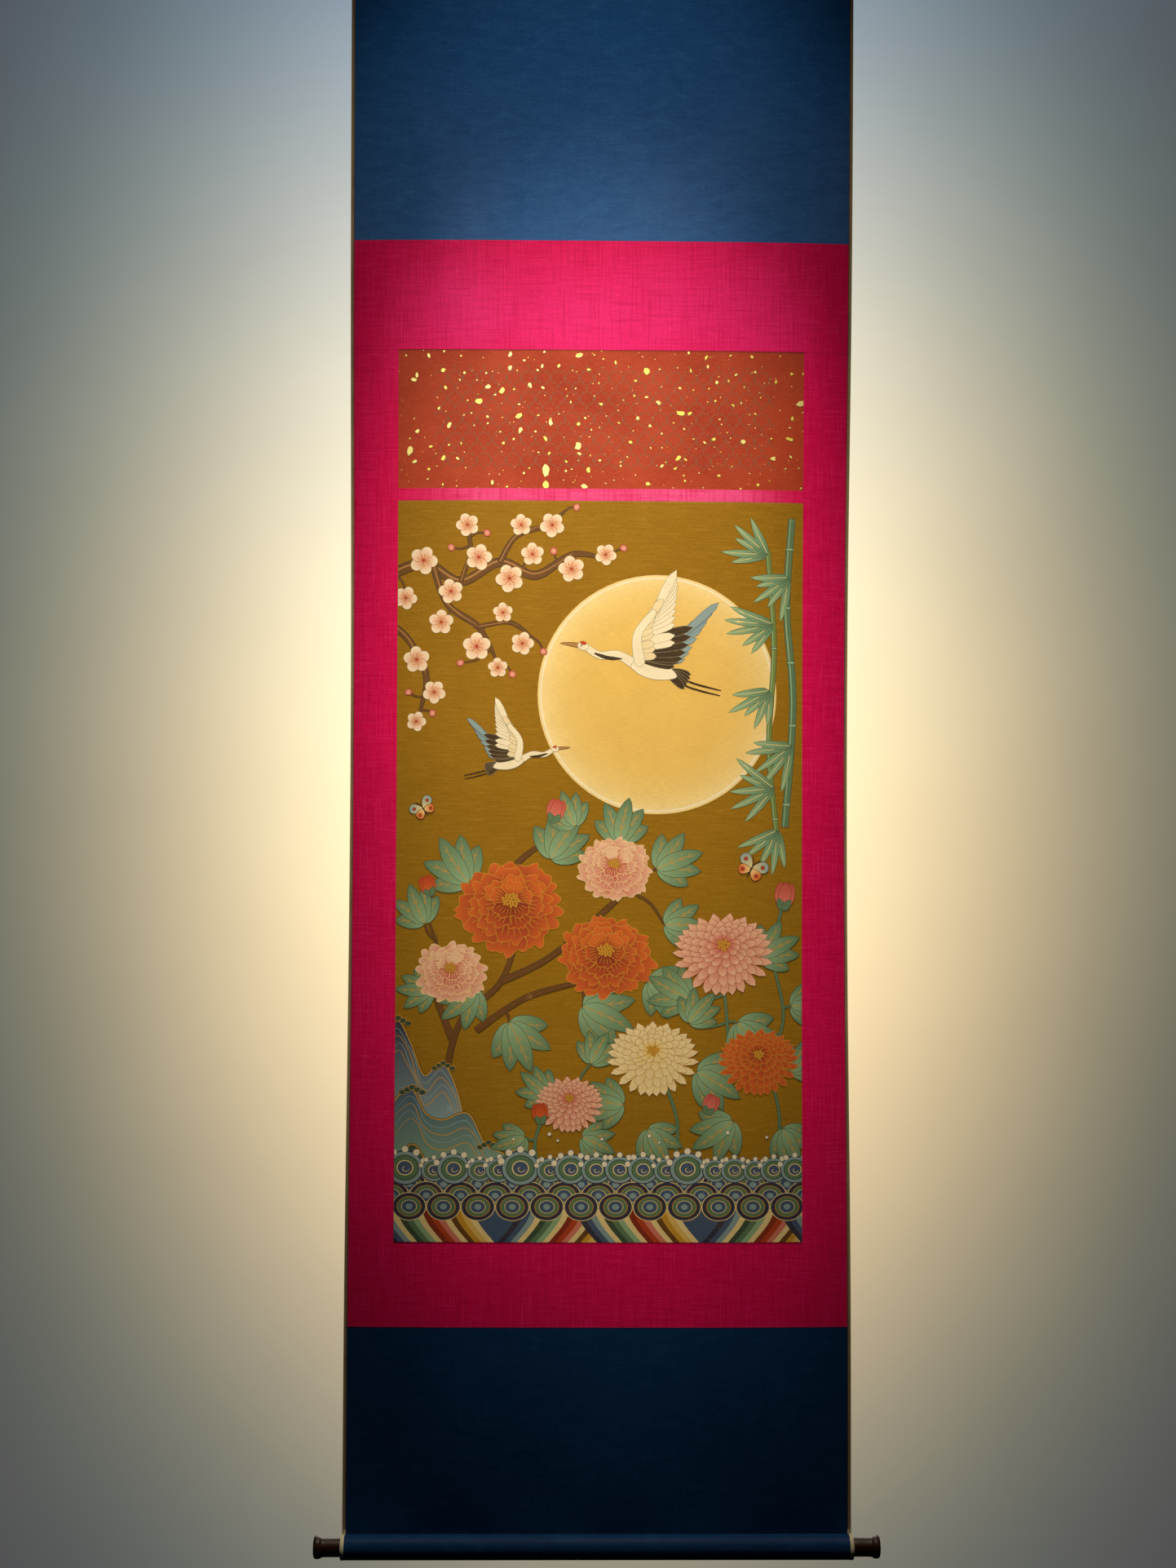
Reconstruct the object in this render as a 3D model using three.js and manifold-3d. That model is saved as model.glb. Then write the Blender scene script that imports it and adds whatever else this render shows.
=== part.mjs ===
// A hanging scroll painting: a tall mount of pasted silk and paper panels that hangs from its top
// edge and is pulled straight by a wooden roller wrapped in its foot.
// Units are millimetres. X runs to the viewer's right, the front faces -Y and +Z is up. The origin
// is the middle of the cloth's top edge.
import * as THREE from "three";
import { mergeVertices } from "three/addons/utils/BufferGeometryUtils.js";
import Module from "manifold-3d";

const wasm = await Module();
wasm.setup();

// Driving sizes of the cloth
const CLOTH_WIDTH = 620;
const CLOTH_THICK = 1.2;
const BINDING_WIDTH = 4.5;
const PICTURE_WIDTH = 500;
const SEAM_GAP = 0.3;
const HEM_HEIGHT = 25;

// Heights of the bands, from the top edge down; the last one ends level with the roller's axis
const HEAVEN_HEIGHT = 400;
const BORDER_TOP_HEIGHT = 135;
const FLECKED_HEIGHT = 171;
const DIVIDER_HEIGHT = 15;
const PICTURE_HEIGHT = 908;
const BORDER_BOTTOM_HEIGHT = 103;
const EARTH_HEIGHT = 261;

// Roller and its end knobs
const WRAP_RADIUS = 15;
const ROD_RADIUS = WRAP_RADIUS - CLOTH_THICK - SEAM_GAP;
const ROUND_SEGMENTS = 32;

// Knob, from the end of the cloth outwards: straight neck, flare, rounded lip and a faint dome
const KNOB_PROFILE = [
  { along: 0, radius: 11.4 },
  { along: 20.5, radius: 11.4 },
  { along: 22.5, radius: 11.8 },
  { along: 24.5, radius: 12.9 },
  { along: 26.5, radius: 13.5 },
  { along: 28.5, radius: 13.6 },
  { along: 30.5, radius: 13.2 },
  { along: 31.8, radius: 12.2 },
  { along: 32.4, radius: 10.5 },
  { along: 33, radius: 0 },
];

// How far the side edges bend back from the middle, how sharply, and how the bend is spread: an
// exponent over 1 puts its deepest place a little below half way down
const CURL_LEFT = 23.5;
const CURL_RIGHT = 28.5;
const CURL_POWER = 4;
const CURL_LOW = 1.1;

// Soft buckles that stand just above the roller, and the slow sway of the whole sheet
const BUCKLE_DEPTH = 1.8;
const BUCKLE_PITCH = 205;
const BUCKLE_CREST = -173;
const BUCKLE_REACH = 250;
const SWAY_DEPTH = 1.2;
const SWAY_PITCH = 620;

// Largest steps of the grids that carry the curved sheets
const COLUMN_STEP = 26;
const ROW_STEP = 48;
const FOOT_ROW_STEP = 22;
const NORMAL_STEP = 0.5;
const WELD_DISTANCE = 1e-4;

// Depths down the cloth at which each band ends
const heavenEnd = HEAVEN_HEIGHT;
const borderTopEnd = heavenEnd + BORDER_TOP_HEIGHT;
const fleckedEnd = borderTopEnd + FLECKED_HEIGHT;
const dividerEnd = fleckedEnd + DIVIDER_HEIGHT;
const pictureEnd = dividerEnd + PICTURE_HEIGHT;
const borderBottomEnd = pictureEnd + BORDER_BOTTOM_HEIGHT;
const rollerDepth = borderBottomEnd + EARTH_HEIGHT;

const halfCloth = CLOTH_WIDTH / 2;
const halfPanel = halfCloth - BINDING_WIDTH - SEAM_GAP;
const halfPicture = PICTURE_WIDTH / 2;
const halfThick = CLOTH_THICK / 2;
const freeDepth = rollerDepth - WRAP_RADIUS;
const rollerAxis = new THREE.Vector3(0, halfThick - WRAP_RADIUS, -rollerDepth);

const silkBlue = new THREE.MeshStandardMaterial({ color: 0x1b3f68, roughness: 0.6 });
const silkMagenta = new THREE.MeshStandardMaterial({ color: 0xb81250, roughness: 0.55 });
const silkOchre = new THREE.MeshStandardMaterial({ color: 0x9a7030, roughness: 0.65 });
const paperRed = new THREE.MeshStandardMaterial({ color: 0xa8422a, roughness: 0.8 });
const bindingTan = new THREE.MeshStandardMaterial({ color: 0xb09c78, roughness: 0.8 });
const woodPale = new THREE.MeshStandardMaterial({ color: 0xa98a60, roughness: 0.7 });
const woodDark = new THREE.MeshStandardMaterial({ color: 0x3a1a12, roughness: 0.35 });

// The middle surface of the hung cloth at u across from the centre line and v down from the top
function surface(u, v) {
  const down = THREE.MathUtils.clamp(v / freeDepth, 0, 1);
  const across = Math.abs(u) / halfCloth;
  const curl = (u < 0 ? CURL_LEFT : CURL_RIGHT) * Math.sin(Math.PI * down ** CURL_LOW) ** 2;
  const order = 2 * CURL_POWER - 1;
  const drawnIn = ((curl * CURL_POWER) ** 2 / (2 * halfCloth * order)) * across ** order;
  const back = curl * across ** CURL_POWER;
  const y = back + buckles(u, v) + sway(v, down);
  return new THREE.Vector3(u - Math.sign(u) * drawnIn, y, -v);
}

function buckles(u, v) {
  const above = THREE.MathUtils.clamp((freeDepth - v) / BUCKLE_REACH, 0, 1);
  const swell = Math.sin(Math.PI * Math.sqrt(above)) ** 2;
  return -BUCKLE_DEPTH * swell * Math.cos((2 * Math.PI * (u - BUCKLE_CREST)) / BUCKLE_PITCH);
}

function sway(v, down) {
  return SWAY_DEPTH * Math.sin(Math.PI * down) * Math.sin((2 * Math.PI * v) / SWAY_PITCH);
}

// A place off the middle surface, along its normal; a negative lift is towards the viewer
function offSurface(u, v, lift) {
  const acrossStep = surface(u + NORMAL_STEP, v).sub(surface(u - NORMAL_STEP, v));
  const downStep = surface(u, v + NORMAL_STEP).sub(surface(u, v - NORMAL_STEP));
  const normal = acrossStep.cross(downStep).normalize();
  return surface(u, v).addScaledVector(normal, lift);
}

function spread(from, to, largest) {
  const count = Math.max(1, Math.ceil((to - from) / largest));
  return Array.from({ length: count + 1 }, (_, i) => from + ((to - from) * i) / count);
}

// A closed sheet over a grid of columns and rows: its front, its back and the rim between them.
// backLift gives how far the back lies behind the middle surface at each depth.
function sheet(columns, rows, backLift = () => halfThick) {
  const positions = [];
  for (const side of [0, 1]) {
    for (const v of rows) {
      for (const u of columns) {
        const lift = side === 0 ? -halfThick : backLift(v);
        positions.push(...offSurface(u, v, lift).toArray());
      }
    }
  }
  const at = (side, i, j) => (side * rows.length + j) * columns.length + i;
  const index = [];
  const quad = (a, b, c, d) => index.push(a, b, c, a, c, d);
  const lastColumn = columns.length - 1;
  const lastRow = rows.length - 1;
  for (let j = 0; j < lastRow; j++) {
    for (let i = 0; i < lastColumn; i++) {
      quad(at(0, i, j), at(0, i, j + 1), at(0, i + 1, j + 1), at(0, i + 1, j));
      quad(at(1, i, j), at(1, i + 1, j), at(1, i + 1, j + 1), at(1, i, j + 1));
    }
    quad(at(0, 0, j), at(1, 0, j), at(1, 0, j + 1), at(0, 0, j + 1));
    const i = lastColumn;
    quad(at(0, i, j), at(0, i, j + 1), at(1, i, j + 1), at(1, i, j));
  }
  for (let i = 0; i < lastColumn; i++) {
    quad(at(0, i, 0), at(0, i + 1, 0), at(1, i + 1, 0), at(1, i, 0));
    const j = lastRow;
    quad(at(0, i, j), at(1, i, j), at(1, i + 1, j), at(0, i + 1, j));
  }
  const geometry = new THREE.BufferGeometry();
  geometry.setAttribute("position", new THREE.Float32BufferAttribute(positions, 3));
  geometry.setIndex(index);
  return geometry;
}

// The turn of cloth round the rod, from one X to another
function wrap(fromX, toX) {
  const ring = new THREE.Shape().absarc(0, 0, WRAP_RADIUS, 0, 2 * Math.PI, false);
  const bore = new THREE.Path().absarc(0, 0, WRAP_RADIUS - CLOTH_THICK, 0, 2 * Math.PI, true);
  ring.holes.push(bore);
  const geometry = new THREE.ExtrudeGeometry(ring, {
    depth: toX - fromX,
    bevelEnabled: false,
    curveSegments: ROUND_SEGMENTS / 2,
  });
  geometry.rotateY(Math.PI / 2);
  return geometry.translate(fromX, rollerAxis.y, rollerAxis.z);
}

function toSolid(geometry) {
  const bare = new THREE.BufferGeometry();
  bare.setAttribute("position", geometry.getAttribute("position"));
  bare.setIndex(geometry.index);
  const merged = mergeVertices(bare, WELD_DISTANCE);
  return new wasm.Manifold(
    new wasm.Mesh({
      numProp: 3,
      vertProperties: merged.getAttribute("position").array,
      triVerts: new Uint32Array(merged.index.array),
    }),
  );
}

function joined(first, second) {
  const made = toSolid(first).add(toSolid(second)).getMesh();
  const geometry = new THREE.BufferGeometry();
  geometry.setAttribute("position", new THREE.Float32BufferAttribute(made.vertProperties, 3));
  geometry.setIndex(new THREE.Uint32BufferAttribute(made.triVerts, 1));
  return geometry;
}

const scroll = new THREE.Group();

function addPiece(name, geometry, material) {
  geometry.computeVertexNormals();
  const mesh = new THREE.Mesh(geometry, material);
  mesh.name = name;
  scroll.add(mesh);
  return mesh;
}

// The flat panels. Each is cut to its band and stops half a seam gap short of its neighbours.
const panels = [
  { name: "border_top", half: halfPanel, top: heavenEnd, end: borderTopEnd, cloth: silkMagenta },
  { name: "flecked_panel", half: halfPicture, top: borderTopEnd, end: fleckedEnd, cloth: paperRed },
  { name: "border_divider", half: halfPicture, top: fleckedEnd, end: dividerEnd, cloth: silkMagenta },
  { name: "picture_panel", half: halfPicture, top: dividerEnd, end: pictureEnd, cloth: silkOchre },
  { name: "border_bottom", half: halfPanel, top: pictureEnd, end: borderBottomEnd, cloth: silkMagenta },
];
for (const panel of panels) {
  const columns = spread(-panel.half, panel.half, COLUMN_STEP);
  const rows = spread(panel.top + SEAM_GAP / 2, panel.end - SEAM_GAP / 2, ROW_STEP);
  addPiece(panel.name, sheet(columns, rows), panel.cloth);
}

// Side borders stand between the top and bottom borders, beside the picture and the flecked paper
for (const side of [-1, 1]) {
  const edges = [side * (halfPicture + SEAM_GAP), side * halfPanel].sort((a, b) => a - b);
  const columns = spread(edges[0], edges[1], COLUMN_STEP);
  const rows = spread(borderTopEnd + SEAM_GAP / 2, pictureEnd - SEAM_GAP / 2, ROW_STEP);
  addPiece(side < 0 ? "border_left" : "border_right", sheet(columns, rows), silkMagenta);
}

// The heaven panel ends in a plain hem, its cloth doubled over to the back along the top edge
{
  const columns = spread(-halfPanel, halfPanel, COLUMN_STEP);
  const hemRows = [0, HEM_HEIGHT];
  const rows = spread(HEM_HEIGHT + CLOTH_THICK, heavenEnd - SEAM_GAP / 2, ROW_STEP);
  const backLift = (v) => (v <= HEM_HEIGHT ? halfThick + CLOTH_THICK : halfThick);
  addPiece("heaven_panel", sheet(columns, [...hemRows, ...rows], backLift), silkBlue);
}

// The earth panel runs down behind the roller and turns forward round it
{
  const columns = spread(-halfPanel, halfPanel, COLUMN_STEP);
  const rows = spread(borderBottomEnd + SEAM_GAP / 2, rollerDepth, FOOT_ROW_STEP);
  addPiece("earth_panel", joined(sheet(columns, rows), wrap(-halfPanel, halfPanel)), silkBlue);
}

// A narrow binding runs down each side edge and once round the end of the wrap
for (const side of [-1, 1]) {
  const edges = [side * (halfCloth - BINDING_WIDTH), side * halfCloth].sort((a, b) => a - b);
  const strip = sheet(edges, spread(0, rollerDepth, ROW_STEP));
  const name = side < 0 ? "binding_left" : "binding_right";
  addPiece(name, joined(strip, wrap(edges[0], edges[1])), bindingTan);
}

// The rod is hidden in the wrap and carries a turned knob on each end
{
  const length = CLOTH_WIDTH - 2 * SEAM_GAP;
  const rod = new THREE.CylinderGeometry(ROD_RADIUS, ROD_RADIUS, length, ROUND_SEGMENTS);
  const mesh = addPiece("roller_rod", rod, woodPale);
  mesh.rotation.z = Math.PI / 2;
  mesh.position.copy(rollerAxis);
}

// The knobs carry the rod's ends; each is turned about the X axis with its lip outwards
const knobOutline = [
  new THREE.Vector2(0, 0),
  ...KNOB_PROFILE.map(({ along, radius }) => new THREE.Vector2(radius, along)),
];
for (const side of [-1, 1]) {
  const turned = new THREE.LatheGeometry(knobOutline, ROUND_SEGMENTS);
  const mesh = addPiece(side < 0 ? "knob_left" : "knob_right", turned, woodDark);
  mesh.rotation.z = (-side * Math.PI) / 2;
  mesh.position.set(side * halfCloth, rollerAxis.y, rollerAxis.z);
}

export default scroll;
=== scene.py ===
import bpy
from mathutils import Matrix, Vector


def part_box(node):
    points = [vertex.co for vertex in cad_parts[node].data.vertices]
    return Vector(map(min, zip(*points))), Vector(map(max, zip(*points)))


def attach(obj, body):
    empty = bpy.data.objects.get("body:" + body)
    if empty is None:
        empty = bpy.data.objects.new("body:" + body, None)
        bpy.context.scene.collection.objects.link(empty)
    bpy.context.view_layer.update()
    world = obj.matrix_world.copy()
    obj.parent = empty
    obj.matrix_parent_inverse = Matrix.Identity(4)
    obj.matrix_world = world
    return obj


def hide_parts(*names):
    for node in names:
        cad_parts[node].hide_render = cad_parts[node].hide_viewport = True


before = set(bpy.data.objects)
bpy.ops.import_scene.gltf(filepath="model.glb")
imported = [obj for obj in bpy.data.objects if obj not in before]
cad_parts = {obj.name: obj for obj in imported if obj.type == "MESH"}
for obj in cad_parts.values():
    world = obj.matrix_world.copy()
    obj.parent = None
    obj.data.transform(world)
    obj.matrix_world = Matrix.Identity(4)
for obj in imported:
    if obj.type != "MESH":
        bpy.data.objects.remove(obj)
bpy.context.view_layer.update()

# Looks of a hanging scroll: fine cloth sheets over the CAD panels, a painted design laid on the
# picture's silk, gold flecks on the paper, turned knobs, a pool of warm light and a pale backdrop
# with a painted pool of light that it gives off itself.
# Shapes are worked out in millimetres, u across from the centre line and v down from the top edge,
# and MM turns them into Blender's metres. A positive lift is towards the viewer.
import math
import random

import bpy
import numpy as np
from mathutils import Matrix, Vector
from mathutils.geometry import delaunay_2d_cdt

MM = 0.001
TAU = 2 * math.pi


# Sizes read from the frame


def seam_depth(upper, lower):
    """How far below the top edge two bands meet, half way across the gap between their solids."""
    return -(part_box(upper)[0].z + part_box(lower)[1].z) / 2 / MM


HEAVEN_END = seam_depth("heaven_panel", "border_top")
BORDER_TOP_END = seam_depth("border_top", "flecked_panel")
FLECKED_END = seam_depth("flecked_panel", "border_divider")
DIVIDER_END = seam_depth("border_divider", "picture_panel")
PICTURE_END = seam_depth("picture_panel", "border_bottom")
BORDER_BOTTOM_END = seam_depth("border_bottom", "earth_panel")

rod_low, rod_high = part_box("roller_rod")
ROLLER_DEPTH = -(rod_low.z + rod_high.z) / 2 / MM
AXIS_Y = (rod_low.y + rod_high.y) / 2 / MM
WRAP_RADIUS = -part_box("earth_panel")[0].z / MM - ROLLER_DEPTH
WRAP_MIDDLE = -AXIS_Y
FREE_DEPTH = ROLLER_DEPTH - WRAP_RADIUS
HALF_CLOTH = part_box("binding_right")[1].x / MM

# Sizes that the frame doesn't give by itself
HALF_THICK = 0.6
BINDING_WIDTH = 4.65
HALF_PANEL = HALF_CLOTH - BINDING_WIDTH
HALF_PICTURE = 250.15
PICTURE_HEIGHT = PICTURE_END - DIVIDER_END
PAPER_HEIGHT = FLECKED_END - BORDER_TOP_END
HEM_HEIGHT = 25.0
WRAP_TURN = math.radians(330)
WRAP_END = ROLLER_DEPTH + WRAP_MIDDLE * WRAP_TURN

# Looks of the cloth: the reach of a tint that spans it, the length of a backing sheet, and how far
# down the red paper its upper seam throws a shade
FULL_WIDTH = 2000.0
PAPER_LAP = 610.0
TOP_SHADE = 3.5

# How far a panel stands proud of the ones that it is pasted over
PROUD_ACROSS = 0.25
PROUD_DIVIDER = 0.2
PROUD_SIDE = 0.15

# The hung cloth's form, as in the CAD model
CURL_LEFT = 23.5
CURL_RIGHT = 28.5
CURL_POWER = 4
CURL_LOW = 1.1
BUCKLE_DEPTH = 1.8
BUCKLE_PITCH = 205.0
BUCKLE_CREST = -173.0
BUCKLE_REACH = 250.0
SWAY_DEPTH = 1.2
SWAY_PITCH = 620.0

# Faint unevenness of pasted silk: depth, wave length across and down, and phase
RIPPLES = (
    (0.11, 143.0, 610.0, 0.4),
    (0.09, -88.0, 330.0, 2.1),
    (0.07, 210.0, -97.0, 4.0),
    (0.06, 64.0, 171.0, 5.2),
)

# Steps of the fine grids, and how far to each side the surface is probed for its slope
CLOTH_STEP = 5.0
WRAP_STEP = 1.3
HEM_STEP = 1.2
EDGING_STEP = 0.8
PROBE = 0.5

# How far the edging's middle stands above the cloth's face and its edges lie below it, how high the
# lowest film of paint lies, and how much higher each further one does
EDGING_PROUD = 0.3
EDGING_SUNK = 0.15
PAINT_LIFT = 0.14
FILM_LIFT = 0.07

# The paint films' mesh: its step, the span within which points are one, how deep its skirt reaches
# under the cloth's face, and how far it keeps from its panel's edge
FILM_STEP = 8.0
FILM_SNAP = 1e-3
FILM_ROOT = 0.15
FILM_MARGIN = 0.5

# Knob, from the end of the cloth outwards: distance along and radius
KNOB_PROFILE = (
    (0, 10.4), (0.7, 10.6), (1.4, 11.3), (6, 11.4), (19, 11.4), (22.5, 11.8), (24.5, 12.9),
    (26.5, 13.5), (28.5, 13.6), (30.5, 13.2), (31.8, 12.2), (32.5, 10.2), (32.9, 5), (33, 0.6),
)
KNOB_STEPS = 3
KNOB_SEGMENTS = 64

# Camera: place in metres, turn in radians, and the lens of a 36 mm frame on its long side
CAMERA_PLACE = Vector((-0.0502, -2.5, -1.1177))
CAMERA_YAW = 0.0142
CAMERA_PITCH = 0.0194
CAMERA_ROLL = 0.0041
CAMERA_LENS = 46.83

# The lamps that make the pool of light, narrower than it is tall, and the weak light of the room:
# name, place, aim, power, half its cone's angle in degrees, and the cone's width against its height
LAMPS = (
    ("lamp_high", (0.099, -0.704, 1.331), (-0.173, 0.0, -1.6), 191.8, 17.2, 1.167),
    ("lamp_front", (-0.3, -1.794, 0.183), (0.002, 0.0, -0.946), 173.7, 19.5, 0.572),
)
LAMP_COLOUR = (1.0, 0.88, 0.66)
FILL_PLACE = (0.0, 2.6, -0.4)
FILL_POWER = 34.0
FILL_COLOUR = (1.0, 0.95, 0.88)
AMBIENT_COLOUR = (0.5, 0.75, 1.0, 1.0)
AMBIENT_POWER = 0.006

# Studio floor and backdrop in metres. The painted pool of light that the backdrop gives off itself
# has for red, green and blue its strength, its middle's X and Z, its spread across and up, the room's
# own light, and its fall-off
STUDIO_HALF = 9.0
STUDIO_FRONT = -6.0
FLOOR_Z = -3.35
BACKDROP_Y = 3.6
BACKDROP_TALL = 10.0
PLASTER_COLOUR = (0.62, 0.6, 0.55, 1.0)
FLOOR_GLOW = (0.17, 0.165, 0.155, 1.0)
WALL_GLOW = (0.24, 0.235, 0.225, 1.0)
PAINTED_POOL = (
    (1.39, 0.06, -0.89, 1.27, 1.94, 0.072, 1.25),
    (1.40, 0.05, -0.74, 1.17, 1.90, 0.056, 0.97),
    (0.93, 0.03, -0.32, 1.12, 2.17, 0.066, 0.91),
)

# Gold flecks and the faint trellis on the red paper
FLECK_SEED = 41
FLECK_PITCH = 17.5
FLECK_SIZES = ((0.7, 1.0), (1.1, 1.7), (1.9, 3.0), (3.4, 4.4))
FLECK_SHARES = (44, 34, 19, 3)
TRELLIS_EDGE = 22.0
TRELLIS_REACH = 198.0
TRELLIS_WIDE = 18.0
TRELLIS_TALL = 25.4

# The picture's design: how far its flower heads are foreshortened, and the stripes and scales of
# its water
PEONY_SQUASH = 0.86
HEAD_SQUASH = 0.82
WAVE_MODULE = 125.0
SCALES_TOP = 824.0
SCALE_RADIUS = 21.0


# The cloth's surface


def surface(u, v):
    """The cloth's middle surface, which hangs free down to the roller and then turns round it."""
    down = np.clip(v / FREE_DEPTH, 0, 1)
    across = np.abs(u) / HALF_CLOTH
    curl = np.where(u < 0, CURL_LEFT, CURL_RIGHT) * np.sin(np.pi * down**CURL_LOW) ** 2
    order = 2 * CURL_POWER - 1
    drawn_in = (curl * CURL_POWER) ** 2 / (2 * HALF_CLOTH * order) * across**order
    y = curl * across**CURL_POWER + buckles(u, v) + sway(v, down) + ripples(u, v, down)
    turn = np.maximum(v - ROLLER_DEPTH, 0) / WRAP_MIDDLE
    y = y + WRAP_MIDDLE * (np.cos(turn) - 1)
    z = -np.minimum(v, ROLLER_DEPTH) - WRAP_MIDDLE * np.sin(turn)
    return np.stack([u - np.sign(u) * drawn_in, y, z], -1)


def buckles(u, v):
    above = np.clip((FREE_DEPTH - v) / BUCKLE_REACH, 0, 1)
    swell = np.sin(np.pi * np.sqrt(above)) ** 2
    return -BUCKLE_DEPTH * swell * np.cos(TAU * (u - BUCKLE_CREST) / BUCKLE_PITCH)


def sway(v, down):
    return SWAY_DEPTH * np.sin(np.pi * down) * np.sin(TAU * v / SWAY_PITCH)


def ripples(u, v, down):
    waves = [depth * np.sin(TAU * (u / wide + v / tall) + phase) for depth, wide, tall, phase in RIPPLES]
    return sum(waves) * np.sin(np.pi * down)


def place(u, v, lift):
    """A point off the middle surface, along its normal."""
    u, v = np.broadcast_arrays(np.asarray(u, float), np.asarray(v, float))
    across = surface(u + PROBE, v) - surface(u - PROBE, v)
    downwards = surface(u, v + PROBE) - surface(u, v - PROBE)
    normal = np.cross(downwards, across)
    normal /= np.linalg.norm(normal, axis=-1, keepdims=True)
    return surface(u, v) + normal * np.asarray(lift)[..., None]


def spread(start, end, step):
    return np.linspace(start, end, max(1, math.ceil((end - start) / step)) + 1)


# Meshes


def make_object(name, points, faces, corner_uvs, slots, materials, sharp_from=None):
    """A smooth shaded object; the edges of the faces from number sharp_from on are kept sharp."""
    mesh = bpy.data.meshes.new(name)
    mesh.from_pydata((np.asarray(points) * MM).tolist(), [], [list(face) for face in faces])
    for material in materials:
        mesh.materials.append(material)
    mesh.polygons.foreach_set("material_index", np.asarray(slots, np.int32))
    mesh.polygons.foreach_set("use_smooth", np.ones(len(faces), bool))
    mesh.uv_layers.new(name="OFBake").data.foreach_set("uv", np.asarray(corner_uvs, np.float32).ravel())
    if sharp_from is not None:
        edge_of = np.empty(len(mesh.loops), np.int32)
        mesh.loops.foreach_get("edge_index", edge_of)
        sharp = np.zeros(len(mesh.edges), bool)
        sharp[edge_of[sum(len(face) for face in faces[:sharp_from]):]] = True
        mesh.attributes.new("sharp_edge", "BOOLEAN", "EDGE").data.foreach_set("value", sharp)
    mesh.update()
    made = bpy.data.objects.new(name, mesh)
    bpy.context.scene.collection.objects.link(made)
    return made


def rim_of(index, count):
    """The quads between the edge of a front grid and that of the back grid count points later."""
    loop = np.concatenate([index[:-1, 0], index[-1, :-1], index[:0:-1, -1], index[0, :0:-1]])
    ahead = np.roll(loop, -1)
    return np.stack([ahead, loop, loop + count, ahead + count], -1)


def cloth(name, columns, rows, front, back, finishes, back_share=0.3, turned_over=None):
    """A closed sheet over a grid: its front, its back and the rim between them.

    front and back give how far each face lies off the middle surface. finishes holds the front's and
    the back's material, and a third one for the rows on the back that turned_over picks out.
    """
    u, v = np.meshgrid(columns, rows)
    points = np.concatenate([place(u, v, front(u, v)), place(u, v, -back(u, v))]).reshape(-1, 3)
    index = np.arange(u.size).reshape(u.shape)
    quads = np.stack([index[:-1, :-1], index[1:, :-1], index[1:, 1:], index[:-1, 1:]], -1).reshape(-1, 4)
    rim = rim_of(index, u.size)
    faces = np.concatenate([quads, quads[:, ::-1] + u.size, rim])

    share_u = (u - columns[0]) / (columns[-1] - columns[0])
    share_v = 1 - (v - rows[0]) / (rows[-1] - rows[0])
    front_uv = np.stack([share_u, back_share + 0.02 + (0.98 - back_share) * share_v], -1)
    back_uv = np.stack([share_u, back_share * share_v], -1)
    uvs = np.concatenate([front_uv, back_uv]).reshape(-1, 2)[faces]
    along = np.arange(len(rim) + 1) / len(rim)
    low, high = back_share + 0.005, back_share + 0.015
    strip = [(along[1:], high), (along[:-1], high), (along[:-1], low), (along[1:], low)]
    for corner, (across, level) in enumerate(strip):
        uvs[-len(rim):, corner] = np.stack([across, np.full(len(rim), level)], -1)

    middle = ((v[:-1] + v[1:]) / 2)[:, :-1].ravel()
    back_slots = np.where(turned_over(middle), 2, 1) if turned_over else np.ones(len(middle))
    slots = np.concatenate([np.zeros(len(middle)), back_slots, np.zeros(len(rim))])
    return make_object(name, points, faces, uvs, slots, finishes, sharp_from=2 * len(quads))


# Materials


class Finish:
    """A node material. Every method but join and finish adds nodes and returns an output."""

    def __init__(self, name):
        self.material = bpy.data.materials.new(name)
        self.material.use_nodes = True
        self.tree = self.material.node_tree
        self.shader = self.tree.nodes["Principled BSDF"]
        self.point = self.add("TexCoord", output="Object")

    def add(self, kind, inputs=(), output=0, **settings):
        made = self.tree.nodes.new("ShaderNode" + kind)
        for key, value in settings.items():
            setattr(made, key, value)
        for key, value in dict(inputs).items():
            self.join(made.inputs[key], value)
        return made.outputs[output]

    def join(self, socket, value):
        if isinstance(value, bpy.types.NodeSocket):
            self.tree.links.new(value, socket)
        else:
            socket.default_value = value

    def noise(self, across, deep, tall, detail=2.0, rough=0.5, warp=0.0):
        """Noise whose features are about that many millimetres in each direction."""
        scale = (1 / (across * MM), 1 / (deep * MM), 1 / (tall * MM))
        vector = self.add("Mapping", {"Vector": self.point, "Scale": scale})
        inputs = {"Vector": vector, "Scale": 1.0, "Detail": detail, "Roughness": rough, "Distortion": warp}
        return self.add("TexNoise", inputs)

    def range(self, value, low, high, at_high=1.0, at_low=0.0, smooth=False):
        """The value as a share that goes from at_low at low to at_high at high."""
        inputs = {"Value": value, "From Min": low, "From Max": high, "To Min": at_low, "To Max": at_high}
        return self.add("MapRange", inputs, interpolation_type="SMOOTHSTEP" if smooth else "LINEAR")

    def math(self, operation, a, b=0.0):
        return self.add("Math", {0: a, 1: b}, operation=operation)

    def mix(self, share, a, b):
        return self.add("Mix", {0: share, 6: a, 7: b}, output=2, data_type="RGBA")

    def layered(self, base, coats):
        """The base under coats of other colours, each given as its share and its colour."""
        for share, colour in coats:
            base = self.mix(share, base, colour)
        return base

    def axis(self, name):
        return self.add("SeparateXYZ", {0: self.point}, output=name)

    def depth(self):
        """How many millimetres a point lies below the top edge."""
        return self.math("DIVIDE", self.axis("Z"), -MM)

    def own_colour(self):
        """The colour that a paint film carries at its corners."""
        return self.add("VertexColor", output="Color", layer_name="paint")

    def bump(self, height, distance, strength):
        return self.add("Bump", {"Height": height, "Distance": distance * MM, "Strength": strength})

    def finish(self, **inputs):
        for key, value in inputs.items():
            self.join(self.shader.inputs[key.replace("_", " ")], value)
        return self.material


def rgb(red, green, blue):
    """The linear colour, with alpha, of an sRGB colour in 0 to 255."""
    return (*linear(np.array([red, green, blue]) / 255), 1.0)


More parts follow.
